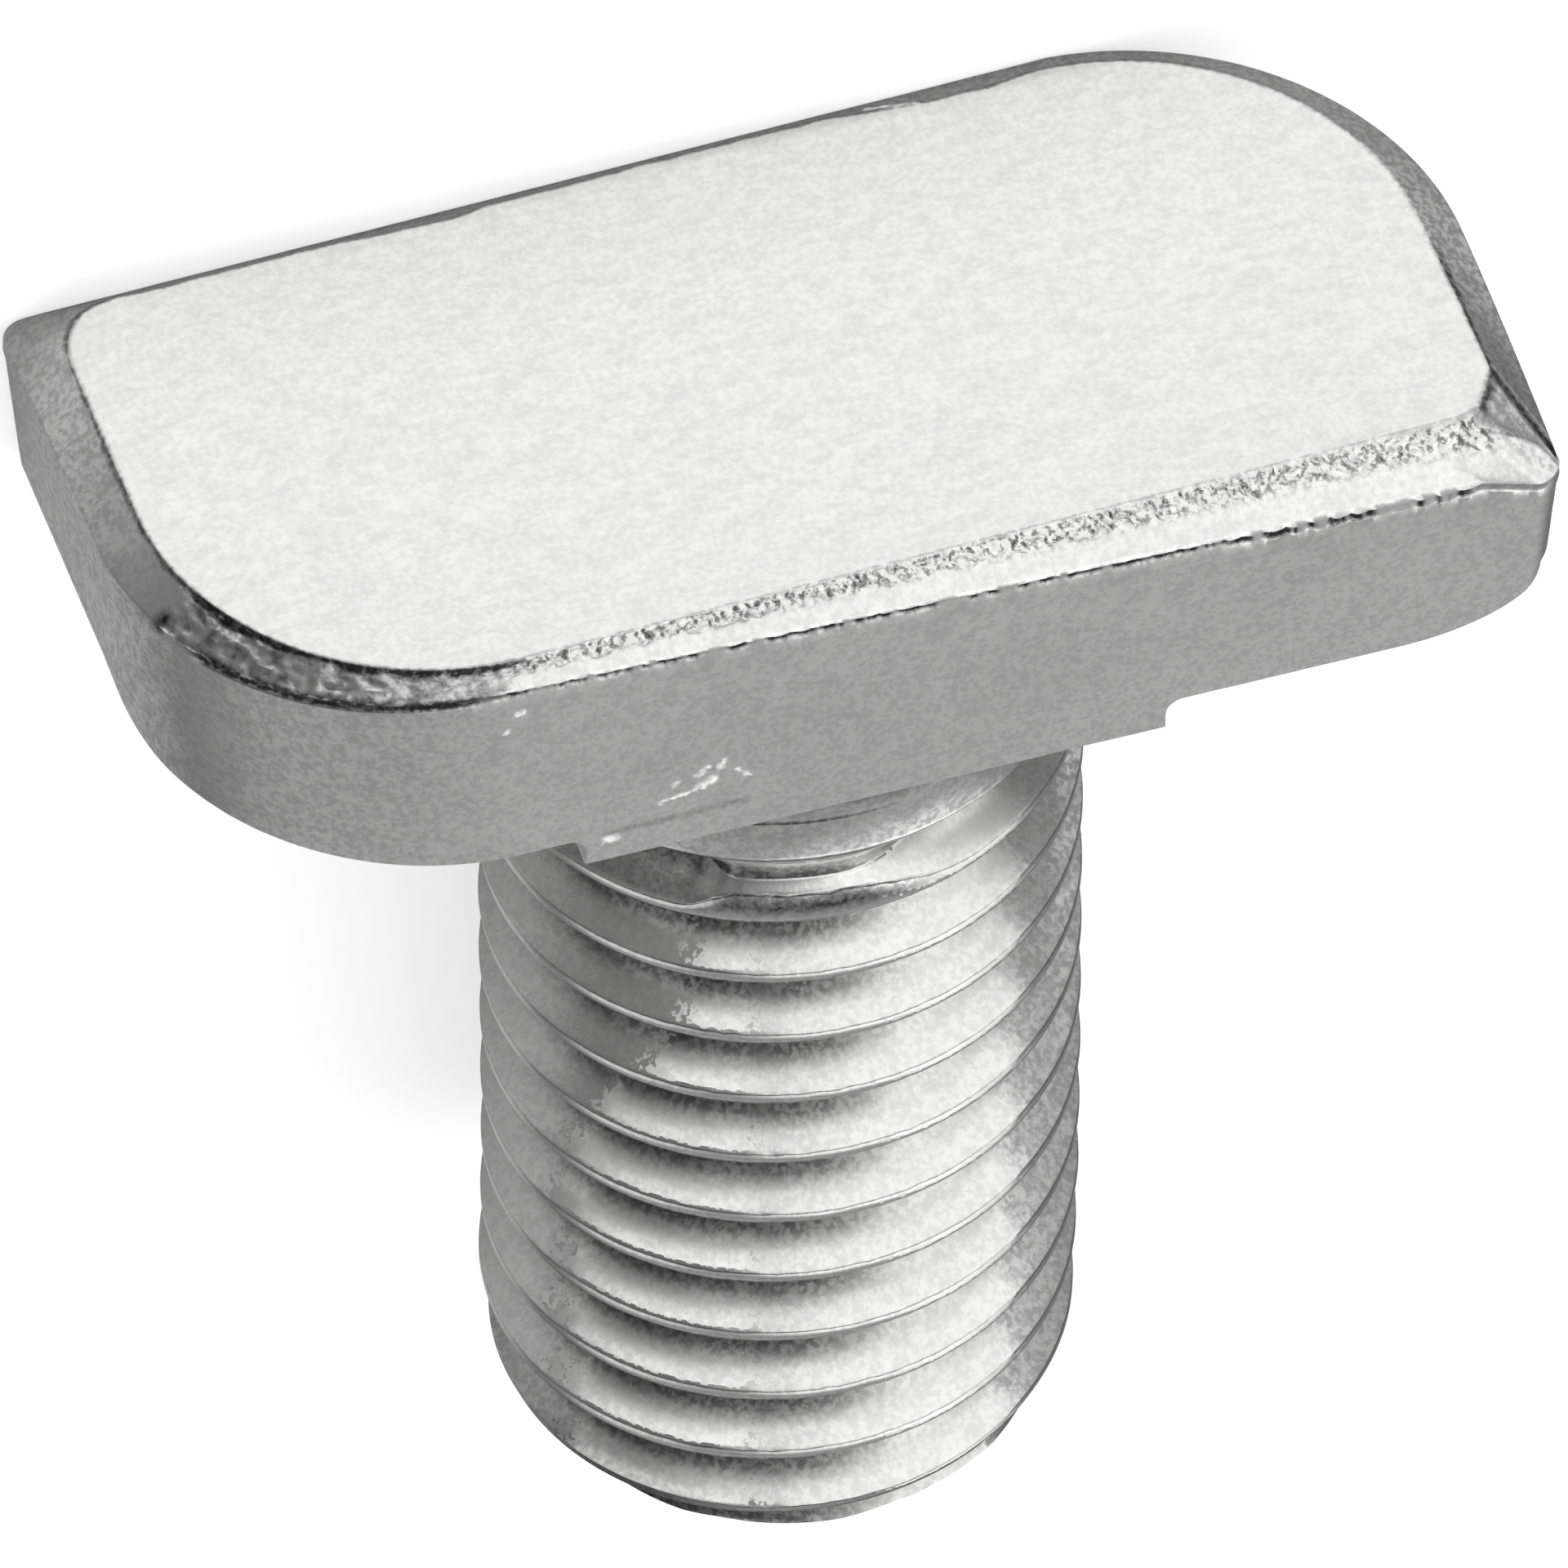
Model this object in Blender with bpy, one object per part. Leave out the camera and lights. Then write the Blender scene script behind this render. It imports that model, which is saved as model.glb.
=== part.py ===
"""Hammer head bolt, M10 x 20, for a slotted mounting channel: one cold-formed and thread-rolled piece.

Lengths are in metres. The bolt is modelled standing on its axis: the bearing face under the head is z = 0,
the head is above it, the shank below. The head's long sides run along X and its ends face along X. It is
then laid on its side, as such a bolt comes to rest: on the neck's edge and on one crest near the tip.
"""

import math

import bmesh
import bpy
from mathutils import Matrix, Vector
from mathutils.geometry import convex_hull_2d

# Head: a bar with two corners rounded, so that it can turn in the channel, and two left nearly square as stops
HEAD_LENGTH = 0.0229
HEAD_WIDTH = 0.0104
HEAD_HEIGHT = 0.00422
TURNING_RADIUS = HEAD_WIDTH / 2
STOP_RADIUS = 0.0005
END_SKEW = math.radians(1.5)
END_DRAFT = 0.00028
BLUNT_END_RUN = 0.0024
BLUNT_END_RISE = 0.0012
CRISP_END_RADIUS = 0.0004

# Land: the flat top, set in from the sides and turned a little on them, with a bevel of uneven depth round it
LAND_END_MARGIN = 0.00074
LAND_SIDE_MARGIN = 0.00062
LAND_TURNING_RADIUS = 0.00488
LAND_STOP_RADIUS = 0.00095
LAND_TURN = math.radians(1.5)
BEVEL_DEPTH_AT_BLUNT_STOP = 0.00105
BEVEL_DEPTH_AT_STOP = 0.00073
BEVEL_DEPTH_AT_TURNING = 0.00044
BEVEL_DEPTH_LEAST = 0.00018
BEVEL_DIP_LENGTH = 0.0011

# Neck: the block under the head that sits in the channel's slot, as wide as the head
NECK_LENGTH = 0.0097
NECK_DEPTH = 0.00072
NECK_FILLET = 0.0003
NECK_EDGE_BREAK = 0.00012

# Shank and its rolled thread, right-handed, with the coarse pitch of M10
SHANK_LENGTH = 0.0199
PLAIN_DIAMETER = 0.0098
PLAIN_LENGTH = 0.0020
RUNOUT_LENGTH = 0.0006
CREST_DIAMETER = 0.00985
PITCH = 0.0015
FLANK_ANGLE = math.radians(30)
THREAD_DEPTH = 0.00088
ROOT_FLAT = 0.00028
FIRST_GROOVE = 0.00283

# Tip: the last turns are cut by a steep taper, and then by a chamfer down to the end face
TIP_DIAMETER = 0.00896
TIP_CHAMFER_LENGTH = 0.00034
TIP_TAPER_ANGLE = math.radians(20.7)
END_FACE_DIAMETER = 0.0079

# Facets
AROUND_SHANK = 60
PER_TURNING_CORNER = 14
PER_STOP_CORNER = 4
PER_LONG_SIDE = 6
PER_END = 4
PER_EDGE_ARC = 5
PER_BLUNT_ARC = 10

# Overlaps by which the shapes reach into each other before they are joined
SINK = 0.001
WELD = 1e-7

# Share of a turn from the +X direction to the near side, where the first groove's depth is given
NEAR_SIDE = 0.75


def clear_scene():
    for obj in list(bpy.data.objects):
        bpy.data.objects.remove(obj, do_unlink=True)


def zinc_plated_steel():
    material = bpy.data.materials.new("zinc_plated_steel")
    material.use_nodes = True
    shader = material.node_tree.nodes["Principled BSDF"]
    shader.inputs["Base Color"].default_value = (0.62, 0.62, 0.61, 1)
    shader.inputs["Metallic"].default_value = 1.0
    shader.inputs["Roughness"].default_value = 0.38
    return material


def solid_object(name, bm):
    """Welds the mesh, turns its faces outward and puts it in the scene."""
    bmesh.ops.remove_doubles(bm, verts=bm.verts, dist=WELD)
    bmesh.ops.recalc_face_normals(bm, faces=bm.faces)
    mesh = bpy.data.meshes.new(name)
    bm.to_mesh(mesh)
    bm.free()
    obj = bpy.data.objects.new(name, mesh)
    bpy.context.scene.collection.objects.link(obj)
    return obj


def combine(base, tool, operation):
    """Applies a Boolean of the tool to the base and removes the tool."""
    boolean = base.modifiers.new(operation.lower(), "BOOLEAN")
    boolean.operation = operation
    boolean.solver = "EXACT"
    boolean.object = tool
    graph = bpy.context.evaluated_depsgraph_get()
    graph.update()
    result = bpy.data.meshes.new_from_object(base.evaluated_get(graph))
    base.modifiers.clear()
    base.data = result
    bpy.data.objects.remove(tool, do_unlink=True)


class Loft:
    """A closed skin through rings of points, each ring with as many points as the next."""

    def __init__(self):
        self.bm = bmesh.new()
        self.corners = {}

    def corner(self, point):
        key = tuple(round(value / WELD) for value in point)
        if key not in self.corners:
            self.corners[key] = self.bm.verts.new(point)
        return self.corners[key]

    def face(self, points):
        corners = []
        for point in points:
            corner = self.corner(point)
            if corner not in corners:
                corners.append(corner)
        if len(corners) > 2:
            self.bm.faces.new(corners)

    def skin(self, rings):
        for upper, lower in zip(rings, rings[1:]):
            count = len(upper)
            for i in range(count):
                after = (i + 1) % count
                self.face((upper[i], upper[after], lower[after], lower[i]))

    def caps(self, rings):
        self.face(rings[0])
        self.face(rings[-1])


def extruded(name, profile, to_point, start, end):
    """A prism: a flat profile carried from start to end along the axis that to_point leaves free."""
    loft = Loft()
    rings = [[to_point(a, b, at) for a, b in profile] for at in (start, end)]
    loft.skin(rings)
    loft.caps(rings)
    return solid_object(name, loft.bm)


def arc(centre, radius, start, end, steps):
    angles = (math.radians(start + (end - start) * i / steps) for i in range(steps + 1))
    return [(centre[0] + radius * math.cos(a), centre[1] + radius * math.sin(a)) for a in angles]


def head_outline(length, width, turning_radius, stop_radius):
    """Points round a head's plan, each with the side it is on and how far along that side it lies.

    The turning corners are near-left and far-right, the stop corners near-right and far-left.
    A long side leads from a turning corner to a stop corner, and ends with the length where the bevel dips.
    """
    x, y = length / 2, width / 2
    corners = (
        ("stop", (x - stop_radius, -y + stop_radius), stop_radius, -90, PER_STOP_CORNER),
        ("turning", (x - turning_radius, y - turning_radius), turning_radius, 0, PER_TURNING_CORNER),
        ("stop", (-x + stop_radius, y - stop_radius), stop_radius, 90, PER_STOP_CORNER),
        ("turning", (-x + turning_radius, -y + turning_radius), turning_radius, 180, PER_TURNING_CORNER),
    )
    points = []
    for i, (side, centre, radius, start, steps) in enumerate(corners):
        bend = arc(centre, radius, start, start + 90, steps)
        points += [(point, side, j / steps) for j, point in enumerate(bend)]
        _, next_centre, next_radius, next_start, _ = corners[(i + 1) % 4]
        goal = Vector(arc(next_centre, next_radius, next_start, next_start, 1)[0])
        leave = Vector(bend[-1])
        if side == "stop":
            straight, places = "end", [j / PER_END for j in range(1, PER_END)]
        else:
            reach = 1 - BEVEL_DIP_LENGTH / (goal - leave).length
            straight, places = "long", [reach * j / PER_LONG_SIDE for j in range(1, PER_LONG_SIDE + 1)]
        points += [(tuple(leave.lerp(goal, place)), straight, place) for place in places]
    return points


def bevel_depth(side, along, at_blunt_end):
    """How far the bevel's lower edge lies below the land: deepest at the stop corner of the blunt end."""
    deepest = BEVEL_DEPTH_AT_BLUNT_STOP if at_blunt_end else BEVEL_DEPTH_AT_STOP
    if side == "long":
        return BEVEL_DEPTH_LEAST + (BEVEL_DEPTH_AT_STOP - BEVEL_DEPTH_LEAST) * along
    if side == "end":
        return BEVEL_DEPTH_AT_TURNING + (deepest - BEVEL_DEPTH_AT_TURNING) * (1 - along) ** 1.5
    if side == "turning":
        return BEVEL_DEPTH_AT_TURNING + (BEVEL_DEPTH_LEAST - BEVEL_DEPTH_AT_TURNING) * along**2
    return deepest


def head_blank():
    """The head lofted from its land through the bevel to its drafted ends, and past the bearing face."""
    square = head_outline(HEAD_LENGTH, HEAD_WIDTH, TURNING_RADIUS, STOP_RADIUS)
    body = [((x - y * math.tan(END_SKEW), y), side, along) for (x, y), side, along in square]
    land = head_outline(
        HEAD_LENGTH - 2 * LAND_END_MARGIN,
        HEAD_WIDTH - 2 * LAND_SIDE_MARGIN,
        LAND_TURNING_RADIUS,
        LAND_STOP_RADIUS,
    )
    cosine, sine = math.cos(LAND_TURN), math.sin(LAND_TURN)
    top = [(x * cosine - y * sine, x * sine + y * cosine, HEAD_HEIGHT) for (x, y), _, _ in land]
    brim = [(x, y, HEAD_HEIGHT - bevel_depth(side, along, x > 0)) for (x, y), side, along in body]
    wall = HEAD_HEIGHT - BEVEL_DEPTH_AT_STOP
    shrink = 1 - 2 * END_DRAFT * (wall + SINK) / wall / HEAD_LENGTH
    foot = [(x * shrink, y, -SINK) for (x, y), _, _ in body]
    loft = Loft()
    loft.skin([top, brim, foot])
    loft.caps([top, brim, foot])
    return solid_object("hammer_head_bolt", loft.bm)


def head_side_profile():
    """The head seen from its long side: flat below, one end's lower edge blunter than the other's."""
    foot = HEAD_LENGTH / 2 - END_DRAFT
    bend = arc((0, 1), 1, -90, 0, PER_BLUNT_ARC)
    right = [(foot + (a - 1) * BLUNT_END_RUN, b * BLUNT_END_RISE) for a, b in bend]
    left = arc((-foot + CRISP_END_RADIUS, CRISP_END_RADIUS), CRISP_END_RADIUS, 180, 270, PER_EDGE_ARC)
    clear = HEAD_LENGTH / 2 + SINK
    above = HEAD_HEIGHT + SINK
    flare_right = [(clear, BLUNT_END_RISE + SINK), (clear, above)]
    flare_left = [(-clear, above), (-clear, CRISP_END_RADIUS + SINK)]
    return right + flare_right + flare_left + left


def head():
    blank = head_blank()
    width = HEAD_WIDTH / 2 + SINK
    trim = extruded("trim", head_side_profile(), lambda a, b, at: (a, at, b), -width, width)
    combine(blank, trim, "INTERSECT")
    return blank


def neck():
    """The neck's block, with a fillet where its ends meet the bearing face and its lower edges broken."""
    x = NECK_LENGTH / 2
    right = arc((x + NECK_FILLET, -NECK_FILLET), NECK_FILLET, 180, 90, PER_EDGE_ARC)
    left = arc((-x - NECK_FILLET, -NECK_FILLET), NECK_FILLET, 90, 0, PER_EDGE_ARC)
    profile = [(x, -NECK_DEPTH)] + right + [(x + NECK_FILLET, SINK), (-x - NECK_FILLET, SINK)] + left
    profile.append((-x, -NECK_DEPTH))
    side = HEAD_WIDTH / 2
    block = extruded("neck", profile, lambda a, b, at: (a, at, b), -side, side)
    bm = bmesh.new()
    bm.from_mesh(block.data)
    lower = [
        edge
        for edge in bm.edges
        if all(vert.co.z < -NECK_DEPTH + WELD for vert in edge.verts)
        and abs(edge.verts[0].co.y - edge.verts[1].co.y) < WELD
    ]
    bmesh.ops.bevel(bm, geom=lower, offset=NECK_EDGE_BREAK, segments=1, affect="EDGES")
    bm.to_mesh(block.data)
    bm.free()
    return block


def thread_line(angle):
    """The shank's outline at an angle round its axis, as (depth below the bearing face, radius).

    Each groove gives four points: its upper brink, both sides of its root and its lower brink.
    """
    start, end = -SINK, SHANK_LENGTH + SINK
    line = []
    turn = math.floor((start - FIRST_GROOVE) / PITCH) - 1
    while FIRST_GROOVE + PITCH * (turn - 2) < end:
        middle = FIRST_GROOVE + PITCH * (turn - angle / math.tau)
        formed = min(max((middle - PLAIN_LENGTH) / RUNOUT_LENGTH, 0.0), 1.0)
        surface = (PLAIN_DIAMETER + formed * (CREST_DIAMETER - PLAIN_DIAMETER)) / 2
        depth = formed * THREAD_DEPTH
        half_root = ROOT_FLAT / 2
        half_mouth = half_root + depth * math.tan(FLANK_ANGLE)
        line.append((middle - half_mouth, surface))
        line.append((middle - half_root, surface - depth))
        line.append((middle + half_root, surface - depth))
        line.append((middle + half_mouth, surface))
        turn += 1
    return [clipped(line, i, start, end) for i in range(len(line))]


def clipped(line, index, start, end):
    """A point of the line, or where the line crosses the start or the end if the point lies beyond it."""
    depth, radius = line[index]
    limit = min(max(depth, start), end)
    if limit == depth:
        return depth, radius
    for (above, from_radius), (below, to_radius) in zip(line, line[1:]):
        if above <= limit <= below:
            radius = from_radius + (to_radius - from_radius) * (limit - above) / (below - above)
    return limit, radius


def threaded_blank():
    """The shank with its thread, running on past the tip: each column a little further down the helix."""
    loft = Loft()
    columns = []
    for i in range(AROUND_SHANK + 1):
        angle = math.tau * i / AROUND_SHANK
        cosine, sine = math.cos(angle), math.sin(angle)
        line = thread_line(angle - math.tau * NEAR_SIDE)
        columns.append([(radius * cosine, radius * sine, -depth) for depth, radius in line])
    for column, beside in zip(columns, columns[1:]):
        for upper, lower, next_upper, next_lower in zip(column, column[1:], beside, beside[1:]):
            loft.face([upper, lower, next_lower, next_upper])
    loft.face([column[0] for column in columns[:-1]])
    loft.face([column[-1] for column in columns[:-1]])
    return solid_object("shank", loft.bm)


def tip_envelope():
    """The turned form that trims the thread at the tip: taper, chamfer and end face."""
    tip, face = TIP_DIAMETER / 2, END_FACE_DIAMETER / 2
    clear = CREST_DIAMETER / 2 + SINK
    edge = SHANK_LENGTH - TIP_CHAMFER_LENGTH
    taper = edge - (clear - tip) / math.tan(TIP_TAPER_ANGLE)
    profile = [(clear, -2 * SINK), (clear, taper), (tip, edge), (face, SHANK_LENGTH)]
    rings = []
    for radius, depth in profile:
        angles = (math.tau * i / AROUND_SHANK for i in range(AROUND_SHANK))
        rings.append([(radius * math.cos(a), radius * math.sin(a), -depth) for a in angles])
    loft = Loft()
    loft.skin(rings)
    loft.caps(rings)
    return solid_object("tip_envelope", loft.bm)


def shank():
    blank = threaded_blank()
    combine(blank, tip_envelope(), "INTERSECT")
    return blank


def centre_of_volume(mesh):
    """Centre of the volume that a closed mesh holds."""
    mesh.calc_loop_triangles()
    total, moment = 0.0, Vector()
    for triangle in mesh.loop_triangles:
        a, b, c = (mesh.vertices[i].co for i in triangle.vertices)
        volume = a.dot(b.cross(c)) / 6
        total += volume
        moment += volume * (a + b + c) / 4
    return moment / total


def resting_line(mesh):
    """Two points, seen along X, on which the bolt lies when its far long side is down."""
    seen = [Vector((vert.co.z, vert.co.y)) for vert in mesh.vertices]
    hull = [seen[i] for i in convex_hull_2d(seen)]
    balance = centre_of_volume(mesh).z
    edges = zip(hull, hull[1:] + hull[:1])
    under = [pair for pair in edges if min(pair[0].x, pair[1].x) <= balance < max(pair[0].x, pair[1].x)]
    return max(under, key=lambda pair: pair[0].y + pair[1].y)


def lay_down(obj):
    """Turns the bolt on its far side, shank along +X, with its box centred over the origin on z = 0."""
    one, other = sorted(resting_line(obj.data), key=lambda point: point.x)
    tilt = math.atan2(other.y - one.y, other.x - one.x)
    on_side = Matrix(((0, 0, -1), (1, 0, 0), (0, -1, 0))).to_4x4()
    turn = Matrix.Rotation(-tilt, 4, "Y") @ on_side
    points = [turn @ vert.co for vert in obj.data.vertices]
    low = Vector(min(point[i] for point in points) for i in range(3))
    high = Vector(max(point[i] for point in points) for i in range(3))
    middle = (low + high) / 2
    turn.translation = (-middle.x, -middle.y, -low.z)
    obj.location = turn.to_translation()
    obj.rotation_euler = turn.to_euler()


def main():
    clear_scene()
    bolt = head()
    combine(bolt, neck(), "UNION")
    combine(bolt, shank(), "UNION")
    bolt.data.materials.clear()
    bolt.data.materials.append(zinc_plated_steel())
    bolt.data.shade_smooth()
    bolt.data.set_sharp_from_angle(angle=math.radians(20))
    lay_down(bolt)


main()
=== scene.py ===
"""Hammer head bolt in zinc-plated steel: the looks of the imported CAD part, laid out as a Blender add-on.

The bolt is built in its own frame: its axis is Z, the bearing face under the head is z = 0, the head is above
it and its long sides run along X. It then lies on its far side, as the CAD part does. Sizes are in metres.
"""

import math
from collections import namedtuple

import bmesh
import bpy
from bpy.props import FloatProperty, FloatVectorProperty, IntProperty, PointerProperty
from bpy.types import Operator, Panel, PropertyGroup
from mathutils import Matrix, Vector, noise
from mathutils.kdtree import KDTree


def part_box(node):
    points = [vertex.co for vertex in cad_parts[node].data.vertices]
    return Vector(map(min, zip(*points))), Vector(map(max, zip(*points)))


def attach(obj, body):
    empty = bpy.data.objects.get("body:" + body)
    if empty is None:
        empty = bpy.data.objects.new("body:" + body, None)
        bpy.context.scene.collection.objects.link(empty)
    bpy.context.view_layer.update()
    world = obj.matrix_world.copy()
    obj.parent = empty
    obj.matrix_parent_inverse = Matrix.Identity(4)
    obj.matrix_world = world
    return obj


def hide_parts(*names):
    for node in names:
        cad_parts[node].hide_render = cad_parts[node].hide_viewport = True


bl_info = {
    "name": "Hammer head bolt",
    "version": (1, 0, 0),
    "blender": (4, 5, 0),
    "location": "3D View > Sidebar > Bolt",
    "description": "Builds a zinc-plated hammer head bolt and the studio it lies in",
    "category": "Object",
}

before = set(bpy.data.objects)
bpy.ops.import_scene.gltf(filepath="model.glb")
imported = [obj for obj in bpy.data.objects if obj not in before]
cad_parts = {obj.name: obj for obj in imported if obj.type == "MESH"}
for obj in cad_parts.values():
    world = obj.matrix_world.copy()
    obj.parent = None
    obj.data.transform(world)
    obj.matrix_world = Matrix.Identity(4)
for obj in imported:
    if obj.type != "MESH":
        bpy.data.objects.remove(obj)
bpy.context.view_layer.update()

BOLT_NODE = "hammer_head_bolt"

# How far shapes reach into each other before they are joined
SINK = 0.001

# Edges that bend more than this are sharp
SHARP_ANGLE = math.radians(31)

# The floor's sides, and its share of its own colour and of its lift in what the metal mirrors of it
FLOOR_SIDES, FLOOR_DIM, FLOOR_MIRRORED = 64, 0.19, 0.81

# The studio's glows: level, direction from the bolt, and the degrees from its middle where it fades, from and to
GLOWS = (
    ("key_level", (-0.907, 0.275, 0.318), 30, 36),
    ("top_level", (-0.16, 0.12, 0.98), 20, 42),
    ("fill_level", (0.70, -0.12, 0.62), 30, 70),
    ("rim_level", (0.25, 0.56, 0.79), 13, 24),
    ("side_level", (0.20, -0.90, 0.38), 14, 24),
)

# Where the camera stands round the bolt's axes, how far its aim is off the land's middle, and its lens
CAMERA_ELEVATION, CAMERA_HEADING = math.radians(48.375), math.radians(17.376)
AIM_UP, AIM_RIGHT = -0.013623, 0.000129
CAMERA_LENS = 707.8


def size(name, description, default, **limits):
    """A length that a user would change."""
    return FloatProperty(
        name=name, description=description, default=default, unit="LENGTH", precision=5, **limits
    )


def turn(name, description, degrees):
    """An angle that a user would change."""
    return FloatProperty(
        name=name, description=description, default=math.radians(degrees), subtype="ANGLE", unit="ROTATION"
    )


class HammerHeadSizes(PropertyGroup):
    """Sizes of the head and the neck"""

    length: size("Length", "Head's length at mid width", 0.0229)
    width: size("Width", "Head's width, which is the neck's width too", 0.0104)
    height: size("Height", "From the bearing face to the land", 0.00422)
    turning_radius: size("Turning radius", "Radius of the two rounded corners", 0.0052)
    stop_radius: size("Stop radius", "Radius of the two square corners", 0.0005)
    end_skew: turn("End skew", "How far the ends lean from square", 1.5)
    end_draft: size("End draft", "How much each end draws in towards the bearing face", 0.00028)
    blunt_run: size("Blunt edge run", "Length of the rounding under the blunt end", 0.0024)
    blunt_rise: size("Blunt edge rise", "Height of the rounding under the blunt end", 0.0012)
    crisp_radius: size("Crisp edge radius", "Rounding under the other end", 0.0004)
    land_end_margin: size("Land end margin", "From the land to the head's ends", 0.00074)
    land_side_margin: size("Land side margin", "From the land to the head's long sides", 0.00062)
    land_turning_radius: size("Land turning radius", "Radius of the land's rounded corners", 0.00488)
    land_stop_radius: size("Land stop radius", "Radius of the land's square corners", 0.00095)
    land_turn: turn("Land turn", "How far the land is turned on the head", 1.5)
    bevel_blunt_stop: size("Bevel at blunt stop", "Bevel's depth at the blunt end's square corner", 0.00105)
    bevel_stop: size("Bevel at stop", "Bevel's depth at the other square corner", 0.00073)
    bevel_turning: size("Bevel at turning corner", "Bevel's depth where a rounded corner starts", 0.00044)
    bevel_least: size("Bevel least", "Bevel's depth where it is shallowest", 0.00018)
    bevel_dip: size("Bevel dip length", "Length over which the bevel dips to a square corner", 0.0011)
    neck_length: size("Neck length", "Length of the block under the head", 0.0097)
    neck_depth: size("Neck depth", "Depth of the block under the head", 0.00072)
    neck_fillet: size("Neck fillet", "Fillet between the neck and the bearing face", 0.0003)
    neck_chamfer: size("Neck chamfer", "Chamfer along the neck's lower edges", 0.00012)
    skin_margin: size("Skin margin", "How far the worn skin keeps inside the nominal sides", 0.00002)


class ThreadedShankSizes(PropertyGroup):
    """Sizes of the plain part, the thread and the tip"""

    length: size("Length", "From the bearing face to the tip's end face", 0.0199)
    plain_diameter: size("Plain diameter", "Diameter of the plain part under the neck", 0.0098)
    plain_length: size("Plain length", "Depth at which the groove begins to form", 0.0020)
    runout_length: size("Run-out length", "Depth over which the groove reaches its full form", 0.0006)
    crest_diameter: size("Crest diameter", "Diameter over the thread's crests", 0.00985)
    pitch: size("Pitch", "Distance from one crest to the next", 0.0015)
    flank_angle: turn("Flank angle", "Angle of a flank from square to the axis", 30)
    groove_depth: size("Groove depth", "Depth of the groove below the crests", 0.00088)
    root_flat: size("Root flat", "Width of the groove's root", 0.00028)
    first_groove: size("First groove", "Depth of the middle of the first groove at the near side", 0.00283)
    tip_diameter: size("Tip diameter", "Diameter where the tip's taper meets its chamfer", 0.00896)
    tip_chamfer: size("Tip chamfer length", "Length of the chamfer at the tip", 0.00034)
    tip_taper: turn("Tip taper", "Angle of the taper that cuts the last turns", 20.7)
    end_diameter: size("End face diameter", "Diameter of the flat end face", 0.0079)
    tip_lean: size("Tip lean", "How far the tip's middle lies off the axis", 0.0001)
    columns: IntProperty(name="Columns", description="Facets round the shank", default=180, min=24)


class ZincFinish(PropertyGroup):
    """Colours and roughness of the plating"""

    plating: FloatVectorProperty(
        name="Plating", description="Colour of the zinc plating", subtype="COLOR", default=(0.83, 0.83, 0.825)
    )
    # Also the colour of the crests' painted highlight
    polished_and_highlit: FloatVectorProperty(
        name="Polished crests", description="Colour of the rubbed crests", subtype="COLOR", default=(0.97, 0.97, 0.96)
    )
    dull: FloatVectorProperty(
        name="Dull plating", description="Colour of its dull flecks", subtype="COLOR", default=(0.50, 0.50, 0.50)
    )
    # Also the colour of painted shade
    grime_and_shade: FloatVectorProperty(
        name="Grime", description="Colour in creases and pits", subtype="COLOR", default=(0.035, 0.035, 0.035)
    )
    roughness: FloatProperty(
        name="Roughness", description="Roughness of the forged sides", subtype="FACTOR", default=0.36, min=0, max=1
    )
    rolled_roughness: FloatProperty(
        name="Rolled roughness",
        description="Roughness of the land and the rolled flanks",
        subtype="FACTOR",
        default=0.23,
        min=0,
        max=1,
    )


class StudioSettings(PropertyGroup):
    """The floor, the light and the camera's distance"""

    floor: FloatVectorProperty(
        name="Floor", description="Colour of the pale floor", subtype="COLOR", default=(0.86, 0.86, 0.86)
    )
    floor_radius: size("Floor radius", "Radius of the round floor", 0.09)
    floor_lift: FloatProperty(name="Floor lift", description="What is added to the floor where it is seen", default=0.6)
    key_level: FloatProperty(name="Key light", description="Level of the large light before the head", default=1.05)
    top_level: FloatProperty(name="Top light", description="Level of the light overhead", default=0.95)
    fill_level: FloatProperty(name="Fill light", description="Level of the weak light behind the bolt", default=0.24)
    rim_level: FloatProperty(name="Rim light", description="Level of the small light beside the blunt end", default=1.0)
    side_level: FloatProperty(name="Side light", description="Level of the light beside the other end", default=0.6)
    room_level: FloatProperty(name="Room", description="Level of the rest of the room", default=0.135)
    camera_distance: size("Camera distance", "From the camera to the land's middle", 0.4925)


# Points along each side of the head, from the near right corner on, anticlockwise, and along each long side's dip
SIDE_POINTS = (26, 44, 44, 60, 8, 26, 112, 280)
DIP_POINTS = 16

# Points along an end crowd towards its square corner by this power
END_CROWDING = 1.4


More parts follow.
